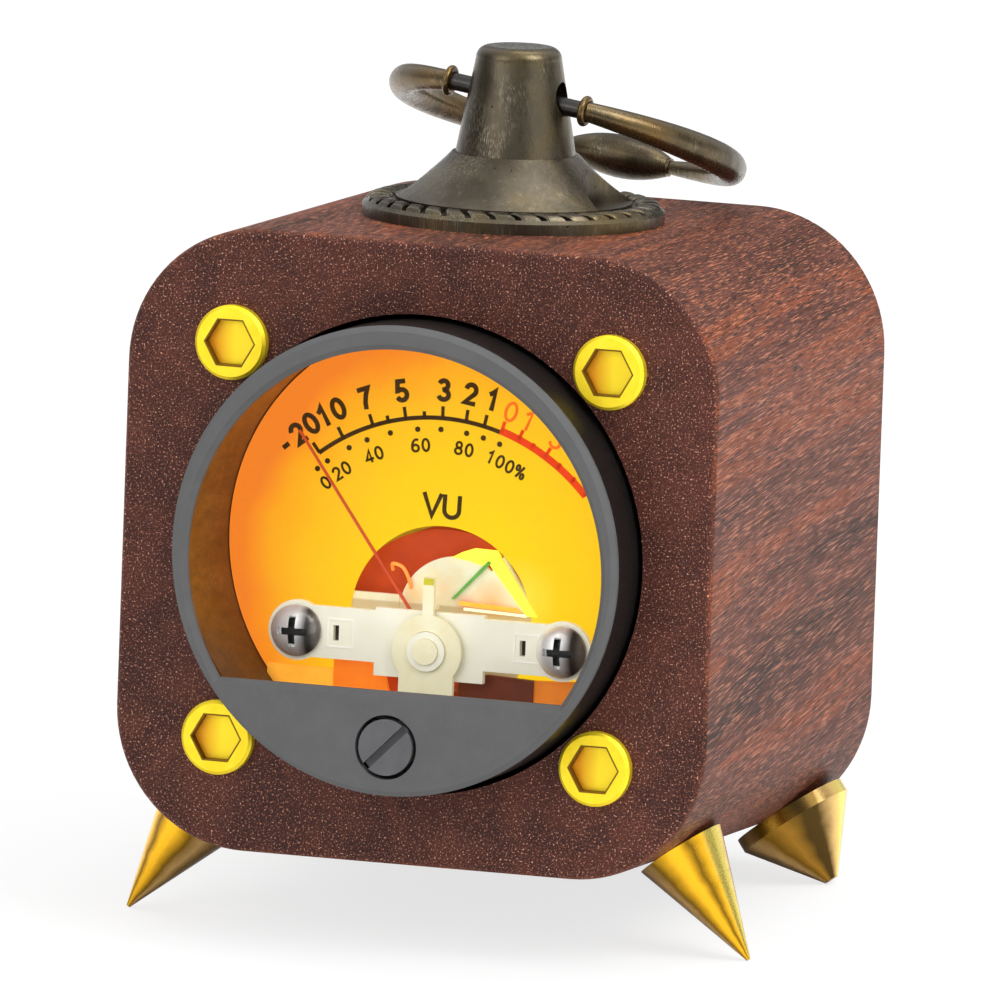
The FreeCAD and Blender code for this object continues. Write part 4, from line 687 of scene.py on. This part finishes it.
# The inks, like the lit plastics, glow a little with painted light.
black_ink = lit("black_ink", srgb(46, 28, 6), srgb(66, 42, 10), 0.6, 0.4, depth=0.002,
                Specular_IOR_Level=0.1)
red_ink = lit("red_ink", srgb(196, 46, 12), srgb(214, 62, 18), 0.6, 0.6, depth=0.002,
              Specular_IOR_Level=0.1)
faint_red_ink = lit("faint_red_ink", srgb(212, 84, 20), srgb(228, 104, 26), 0.6, 0.6,
                    depth=0.002, Specular_IOR_Level=0.1)

PRINT_HEIGHT = 0.03
PRINT_FRONT = DIAL_FRONT - PRINT_HEIGHT
SCALE_MIDDLE, SCALE_RADIUS = (-0.26, -7.54), 19.93
BLACK_WIDTH, RED_WIDTH = 0.42, 0.72
SCALE_START, ZERO_ANGLE, SCALE_END = -38.4, 17.3, 47.6
MAJOR_TICK, MINOR_TICK, TICK_WIDTH = 1.15, 0.6, 0.34
BLACK_MAJOR = (-38.2, -30, -20.5, -10.6, 0.2, 7.1, 12.5)
BLACK_MINOR = (-15.8, -5.1)
RED_MAJOR = (17.7, 23.1, 31.9)
RED_MINOR = (27.5, 36.6, 42, 47.2)
DOT_RADIUS, DOT_SIZE = 18.83, 0.27
DOTS = (-41.5, -37.6, -29.7, -23.6, -16, -7.4, -0.2, 7.8, 13.1, 18.4)
UPPER_RADIUS, UPPER_HEIGHT, UPPER_LINE = 22.65, 2.1, 0.225
RED_RADIUS, RED_LINE = 22.2, 0.14
LOWER_RADIUS, LOWER_HEIGHT, LOWER_LINE = 17.28, 1.32, 0.18
BLACK_NUMERALS = (("-20", -40.1), ("10", -30), ("7", -20.4), ("5", -10.7), ("3", 0.3), ("2", 7.2),
                  ("1", 12.9))
RED_NUMERALS = (("0", 18.4), ("1", 23.3), ("3", 32.2))
PERCENTAGES = (("0", -42.1), ("20", -35.4), ("40", -23.1), ("60", -6.9), ("80", 7.8),
               ("100%", 22.3))
UNIT_PLACE, UNIT_HEIGHT, UNIT_LINE = (0.05, 3.92), 2.35, 0.18


def numerals(labels, radius, height, weight):
    outlines = []
    for label, angle in labels:
        outlines += words(label, *on_dial(angle, radius), angle, height, weight)
    return outlines


def ticks(majors, minors):
    outer = SCALE_RADIUS
    return ([tick(angle, outer, outer + MAJOR_TICK, TICK_WIDTH) for angle in majors]
            + [tick(angle, outer, outer + MINOR_TICK, TICK_WIDTH) for angle in minors])


def printed(name, outlines, ink):
    piece(name, prisms(name, outlines, PRINT_FRONT, PRINT_HEIGHT), "root", "dial", ink)


half_line = BLACK_WIDTH / 2
printed("dial_scale_black", [arc_band(SCALE_START, ZERO_ANGLE, SCALE_RADIUS - half_line,
                                      SCALE_RADIUS + half_line)]
        + ticks(BLACK_MAJOR, BLACK_MINOR)
        + [dot(angle, DOT_RADIUS, DOT_SIZE) for angle in DOTS], black_ink)
printed("dial_scale_red", [arc_band(ZERO_ANGLE, SCALE_END, SCALE_RADIUS - half_line,
                                    SCALE_RADIUS - half_line + RED_WIDTH)]
        + ticks(RED_MAJOR, RED_MINOR), red_ink)
printed("dial_numerals_black",
        numerals(BLACK_NUMERALS, UPPER_RADIUS, UPPER_HEIGHT, UPPER_LINE)
        + numerals(PERCENTAGES, LOWER_RADIUS, LOWER_HEIGHT, LOWER_LINE)
        + words("VU", *UNIT_PLACE, 2, UNIT_HEIGHT, UNIT_LINE), black_ink)
printed("dial_numerals_red", numerals(RED_NUMERALS, RED_RADIUS, UPPER_HEIGHT, RED_LINE),
        faint_red_ink)


# Small pieces round the movement: lit plastics glowing with painted light, slabs of painted glints and
# reflections, painted shade in the bridge's slots, the chin's shield, a wire

def arc_points(x, z, radius, start, end, steps=24):
    """Points on a circle, by angles in degrees from upright."""
    angles = [math.radians(start + (end - start) * step / steps) for step in range(steps + 1)]
    return [(x + radius * math.sin(angle), z + radius * math.cos(angle)) for angle in angles]


def box(left, low, right, high):
    """The corners of an upright rectangle."""
    return [(left, low), (left, high), (right, high), (right, low)]


def slab(name, outlines, front, thickness, slot, finish, body="root"):
    """Flat plates whose front lies at that depth behind the block's front face."""
    return piece(name, prisms(name, outlines, front, thickness), body, slot, finish)


# Painted light: these finishes glow, for the glints, reflections and lit strips round the movement; the last is
# dark painted shade for the bridge's slots.
yellow_glint_glow = lit("yellow_painted_glint", srgb(246, 232, 20), srgb(255, 250, 66), 0.3, 0.7)
green_glint_glow = lit("green_painted_glint", srgb(58, 140, 44), srgb(100, 172, 58), 0.3, 0.3)
amber_glow = lit("amber_painted_glow", srgb(252, 138, 26), srgb(255, 176, 52), 0.35, 0.75)
orange_glow = lit("orange_painted_glow", srgb(226, 100, 14), srgb(250, 128, 28), 0.35, 0.6)
brown_block = lit("brown_terminal_block", srgb(74, 26, 8), srgb(104, 42, 14), 0.5, 0.4)
tan_block = lit("tan_terminal_block", srgb(186, 96, 18), srgb(214, 118, 28), 0.5, 0.6)
wire_finish = lit("lead_wire", srgb(240, 120, 24), srgb(255, 160, 70), 0.4, 0.6)
painted_slot_shade = plastic("painted_slot_shade", srgb(30, 24, 18), srgb(52, 44, 34), 0.6)

slab("wing_painted_reflection", [
    [(1.2, -0.95), (2.2, -0.38), (3.5, 0.1), (5.8, 0.05), (6.25, -0.5), (5.2, -1.35),
     (4.2, -1.5), (2.9, -1.15)]], 7.15, 0.25, "cream_plastic", yellow_glint_glow)
slab("wing_edge_painted_glint", [[(6.25, -0.45), (10.2, -6), (9.1, -6), (5.2, -1.35)]], 6.8, 0.2,
     "dial", yellow_glint_glow)
slab("wing_ledge", [[(2.7, -5.65), (2.7, -5.92), (9.1, -6.12), (9.1, -5.85)]], 6.8, 0.2,
     "cream_plastic", lit("pale_ledge", srgb(250, 242, 176), srgb(255, 251, 214), 0.4, 0.6))
slab("wing_green_painted_glint", [[(4.95, -1.0), (5.2, -1.2), (1.6, -4.95), (1.3, -4.95)]], 7.0, 0.4,
     "cream_plastic", green_glint_glow)
slab("wing_glow_line", [[(2.2, -5.05), (2.2, -5.45), (8.6, -5.75), (8, -5.3)]], 6.85, 0.15,
     "cream_plastic", amber_glow)
# Below the bridge: strips and blocks that glow with painted light.
slab("lower_trim_left", [box(-17, -15, -10.2, -12.5)], 6.6, 0.4, "dial", amber_glow)
slab("lower_trim_middle", [[(-10.2, -15), (-10.2, -11.6), (-6.6, -11.6), (-5, -12.6),
                            (-4.4, -15)]], 6.5, 0.5, "dial", orange_glow)
slab("lower_block_dark", [[(2.6, -15.5), (2.6, -12.4), (5.4, -11.9), (10.2, -12.1),
                           (10.2, -15.5)]], 6.3, 0.7, "dial", brown_block)
slab("lower_block_light", [[(10.2, -15.5), (10.2, -12.1), (14.7, -11.9), (14.7, -15.5)]], 6.5,
     0.5, "dial", tan_block)
slab("zero_lever_mark", [box(-0.5, -3.4, 0.5, -2.75)], 4.15, 0.05, "cream_plastic",
     lit("tab_mark", srgb(176, 168, 24), srgb(206, 192, 40), 0.5, 0.4), "zero_lever")

SLOT_ACROSS, SLOT_HALF_WIDTH, SLOT_HALF_HEIGHT = 9.5, 0.5, 1
RIM_SHIFT, RIM_ACROSS, RIM_UP, RIM_LINE = 0.45, 1.35, 1.4, 0.14
ARMS_LEVEL = DOME_PLACE[1]
shade_plates, rims = [], []
for hand in (-1, 1):
    middle = hand * SLOT_ACROSS
    shade_plates.append(box(middle - SLOT_HALF_WIDTH, ARMS_LEVEL - SLOT_HALF_HEIGHT,
                     middle + SLOT_HALF_WIDTH, ARMS_LEVEL + SLOT_HALF_HEIGHT))
    left, right = middle + RIM_SHIFT - RIM_ACROSS, middle + RIM_SHIFT + RIM_ACROSS
    low, high = ARMS_LEVEL - RIM_UP, ARMS_LEVEL + RIM_UP
    rims += [box(left, low, right, low + RIM_LINE), box(left, high - RIM_LINE, right, high),
             box(left, low + RIM_LINE, left + RIM_LINE, high - RIM_LINE),
             box(right - RIM_LINE, low + RIM_LINE, right, high - RIM_LINE)]
# Painted shade: dark plates just behind the bridge's slots.
slab("bridge_slot_painted_shade", shade_plates, 5.6, 0.1, "white_plastic", painted_slot_shade)
slab("bridge_slot_rims", rims, 4.84, 0.06, "white_plastic",
     lit("slot_rim", srgb(240, 238, 224), srgb(250, 248, 236), 0.4, 0.3))

SHIELD_REACH, SHIELD_CHORD = 21.5, -12.7
ZERO_SCREW_LEVEL, SHIELD_HOLE = -17.84, 2.45
halves = []
for hand in (-1, 1):
    end = math.degrees(math.acos(SHIELD_CHORD / SHIELD_REACH)) * hand
    halves.append([(0, SHIELD_CHORD)]
                  + arc_points(0, ZERO_SCREW_LEVEL, SHIELD_HOLE, 0, 180 * hand)
                  + arc_points(0, 0, SHIELD_REACH, 180 * hand, end))
slab("chin_light_shield", halves, -4.3, 0.3, "black_plastic", FINISHES["black_plastic"])


def smooth(spots, steps=8):
    """Points along a smooth path through the spots."""
    line = []
    for index in range(len(spots) - 1):
        before = spots[max(index - 1, 0)]
        start, end = spots[index], spots[index + 1]
        after = spots[min(index + 2, len(spots) - 1)]
        for share in (step / steps for step in range(steps)):
            line.append(0.5 * (2 * start + (end - before) * share
                               + (2 * before - 5 * start + 4 * end - after) * share ** 2
                               + (3 * start - before - 3 * end + after) * share ** 3))
    return line + [spots[-1]]


def tube(name, path, radius, sides=10):
    """A round wire along a smooth path through the points."""
    line = smooth([Vector(point) for point in path])
    shape = bmesh.new()
    rings = []
    for index, place in enumerate(line):
        way = line[min(index + 1, len(line) - 1)] - line[max(index - 1, 0)]
        turn = way.to_track_quat("Z", "Y")
        angles = [2 * math.pi * side / sides for side in range(sides)]
        rings.append([shape.verts.new(place + turn @ Vector((
            radius * math.cos(angle), radius * math.sin(angle), 0))) for angle in angles])
    for here, after in zip(rings, rings[1:]):
        for side in range(sides):
            beside = (side + 1) % sides
            shape.faces.new((here[side], here[beside], after[beside], after[side]))
    shape.faces.new(reversed(rings[0]))
    shape.faces.new(rings[-1])
    return mesh_of(shape, name)


piece("coil_lead_wire", tube("coil_lead_wire", (
    (-5.1, 8.1, -2.7), (-4.75, 7.1, -2.0), (-3.7, 6.95, -2.25), (-3.1, 7.0, -3.2),
    (-2.9, 7.3, -4.3)), 0.17), "root", "copper", wire_finish)


# Rope border of the pull: raised slanted strands over a dark ring that shows between them

ROPE_INNER, ROPE_OUTER, ROPE_HEIGHT = 11.8, 14.2, 0.6
STRANDS, STRAND_SHARE, SLANT = 36, 0.74, 0.11
GROOVE_MARGIN, GROOVE_HEIGHT = 0.05, 0.05


def rope_border(name, along=8, across=12):
    """Domed strands, each in rows across the border; its first and last row stand on the floor."""
    shape = bmesh.new()
    for strand in range(STRANDS):
        rows = []
        for step in range(along + 3):
            part = min(max((step - 1) / along, 0), 1)
            row = []
            for place in (cut / across for cut in range(across + 1)):
                reach = ROPE_INNER + (ROPE_OUTER - ROPE_INNER) * place
                turn = (2 * math.pi * (strand + STRAND_SHARE * part) / STRANDS
                        + SLANT * (place - 0.5))
                crown = math.sqrt(max(0.0, 1 - (2 * place - 1) ** 2))
                side = 1 - (2 * part - 1) ** 6 * 0.35
                level = ROPE_HEIGHT * crown * side if 0 < step < along + 2 else 0
                row.append(shape.verts.new((reach * math.cos(turn),
                                            PULL_DEPTH + reach * math.sin(turn),
                                            ROPE_FLOOR + level)))
            rows.append(row)
        for here, after in zip(rows, rows[1:]):
            for cut in range(across):
                shape.faces.new((here[cut], here[cut + 1], after[cut + 1], after[cut]))
    return mesh_of(shape, name)


def ring_plate(name, inner, outer, floor, height, steps=144):
    """A flat ring round the pull's middle line."""
    shape = bmesh.new()
    corners = ((inner, floor), (outer, floor), (outer, floor + height), (inner, floor + height))
    rings = []
    for turn in (2 * math.pi * step / steps for step in range(steps)):
        rings.append([shape.verts.new((reach * math.cos(turn),
                                       PULL_DEPTH + reach * math.sin(turn), level))
                      for reach, level in corners])
    for step in range(steps):
        here, after = rings[step], rings[(step + 1) % steps]
        for corner in range(4):
            beside = (corner + 1) % 4
            shape.faces.new((here[corner], after[corner], after[beside], here[beside]))
    return mesh_of(shape, name)


rope = piece("rope_strands", rope_border("rope_strands"), "root", "bronze")
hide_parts("pull_rope_border")
groove_patina = bronze("groove_patina", srgb(26, 22, 16), srgb(34, 29, 22), srgb(42, 36, 28))
piece("rope_grooves", ring_plate("rope_grooves", ROPE_INNER + GROOVE_MARGIN,
                                 ROPE_OUTER - GROOVE_MARGIN, ROPE_FLOOR, GROOVE_HEIGHT), "root",
      "bronze", groove_patina)


# Studio: floor, sky, lamps and camera

WHITE = (1, 1, 1, 1)


def floor_material():
    """A pale floor that takes soft shadows; the camera sees it three quarters as plain white."""
    camera_share = 0.75
    finish = Finish("studio_floor", Roughness=0.9)
    tone = finish.noise((60, 60, 60), 3, 0.6)
    finish.link(finish.ramp(tone, (0.3, (0.86, 0.86, 0.86, 1)), (0.7, (0.88, 0.88, 0.88, 1))),
                "Base Color")
    white = finish.add("ShaderNodeEmission", {"Color": WHITE, "Strength": 1.0})
    seen = finish.add("ShaderNodeLightPath")
    share = finish.times(seen.outputs["Is Camera Ray"], camera_share)
    mixed = finish.add("ShaderNodeMixShader", {0: share, 1: finish.shader.outputs["BSDF"],
                                               2: white.outputs["Emission"]})
    finish.tree.links.new(mixed.outputs["Shader"],
                          finish.tree.nodes["Material Output"].inputs["Surface"])
    return finish


FLOOR_REACH = 6.0
floor_mesh = bpy.data.meshes.new("studio_floor")
corners = box(-FLOOR_REACH, -FLOOR_REACH, FLOOR_REACH, FLOOR_REACH)
floor_mesh.from_pydata([(x, y, 0) for x, y in corners], [], [(3, 2, 1, 0)])
floor_mesh.materials.append(floor_material().material)
floor = bpy.data.objects.new("studio_floor", floor_mesh)
bpy.context.scene.collection.objects.link(floor)


def sky():
    """A soft studio all round, with bright upright panels; the camera itself sees white."""
    world = bpy.data.worlds.new("studio")
    bpy.context.scene.world = world
    world.use_nodes = True
    nodes, links = world.node_tree.nodes, world.node_tree.links
    nodes.clear()

    def add(kind, inputs, output, **settings):
        return new_node(world.node_tree, kind, inputs, **settings).outputs[output]

    direction = nodes.new("ShaderNodeTexCoord").outputs["Generated"]
    height = add("ShaderNodeSeparateXYZ", {"Vector": direction}, "Z")
    level_way = add("ShaderNodeVectorMath", {0: direction, 1: (1, 1, 0)}, "Vector",
                    operation="MULTIPLY")
    level_way = add("ShaderNodeVectorMath", {0: level_way}, "Vector", operation="NORMALIZE")
    total = add("ShaderNodeMapRange", {"Value": height, "From Min": 0.25, "From Max": 0.9,
                                       "To Min": 0.3, "To Max": 1.0}, "Result")
    for azimuth, half_width, strength in PANELS:
        turn = math.radians(azimuth)
        towards = (math.sin(turn), -math.cos(turn), 0)
        near = add("ShaderNodeVectorMath", {0: level_way, 1: towards}, "Value",
                   operation="DOT_PRODUCT")
        panel = add("ShaderNodeMapRange", {
            "Value": near, "From Min": math.cos(math.radians(half_width + PANEL_BLUR)),
            "From Max": math.cos(math.radians(half_width)), "To Min": 0.0,
            "To Max": strength}, "Result")
        total = add("ShaderNodeMath", {0: total, 1: panel}, "Value", operation="ADD")
    room = nodes.new("ShaderNodeBackground")
    links.new(total, room.inputs["Strength"])
    white = nodes.new("ShaderNodeBackground")
    path = nodes.new("ShaderNodeLightPath")
    seen = add("ShaderNodeMath", {0: path.outputs["Is Camera Ray"],
                                  1: path.outputs["Is Transmission Ray"]}, "Value",
               operation="MAXIMUM")
    for background in (room, white):
        background.inputs["Color"].default_value = WHITE
    mixed = add("ShaderNodeMixShader", {"Fac": seen, 1: room.outputs["Background"],
                                        2: white.outputs["Background"]}, "Shader")
    output = nodes.new("ShaderNodeOutputWorld")
    links.new(mixed, output.inputs["Surface"])


# Each panel: the way it lies, from the front towards the right, its half width, its strength.
PANEL_BLUR = 8
PANELS = ((72, 20, 0.9), (-46, 9, 0.8), (-120, 22, 0.45), (150, 20, 0.45), (8, 7, 0.35))
sky()

# What the lamps face, in the shared frame, in metres
TARGET = Vector((0.0005, 0.0011, 0.0389))


def bearing(azimuth, elevation):
    """The way to a place, by its azimuth from the front towards the right and its elevation."""
    turn, rise = math.radians(azimuth), math.radians(elevation)
    return Vector((math.sin(turn) * math.cos(rise), -math.cos(turn) * math.cos(rise),
                   math.sin(rise)))


def lamp_at(name, azimuth, elevation, distance, size, watts):
    """A soft square lamp that shines on the target."""
    light = bpy.data.lights.new(name, "AREA")
    light.size = size
    light.energy = watts
    thing = bpy.data.objects.new(name, light)
    thing.location = TARGET + bearing(azimuth, elevation) * distance
    thing.rotation_euler = (TARGET - thing.location).to_track_quat("-Z", "Y").to_euler()
    bpy.context.scene.collection.objects.link(thing)


lamp_at("key_lamp", 75, 48, 0.7, 0.35, 2.6)
lamp_at("front_lamp", -25, 30, 0.9, 0.5, 1.6)
lamp_at("top_lamp", 160, 70, 0.8, 0.4, 1.2)

# The photograph's camera, in the block's frame, in millimetres.
CAMERA_PLACE, CAMERA_LENS = (986.0, -2737.75, 380.44), 1105.7
CAMERA_RIGHT, CAMERA_UP = (0.93959, 0.34040, 0.03592), (-0.07705, 0.10809, 0.99115)
camera = bpy.data.cameras.new("camera")
camera.lens = CAMERA_LENS
camera.sensor_width = 36
camera.sensor_fit = "HORIZONTAL"
camera_object = bpy.data.objects.new("camera", camera)
right, up = Vector(CAMERA_RIGHT), Vector(CAMERA_UP)
facing = Matrix((right, up, right.cross(up))).transposed()
camera_object.matrix_world = (Matrix.Translation(BLOCK @ Vector(CAMERA_PLACE))
                              @ (BLOCK.to_3x3().normalized() @ facing).to_4x4())
bpy.context.scene.collection.objects.link(camera_object)
bpy.context.scene.camera = camera_object
bpy.context.scene.view_settings.view_transform = "Standard"
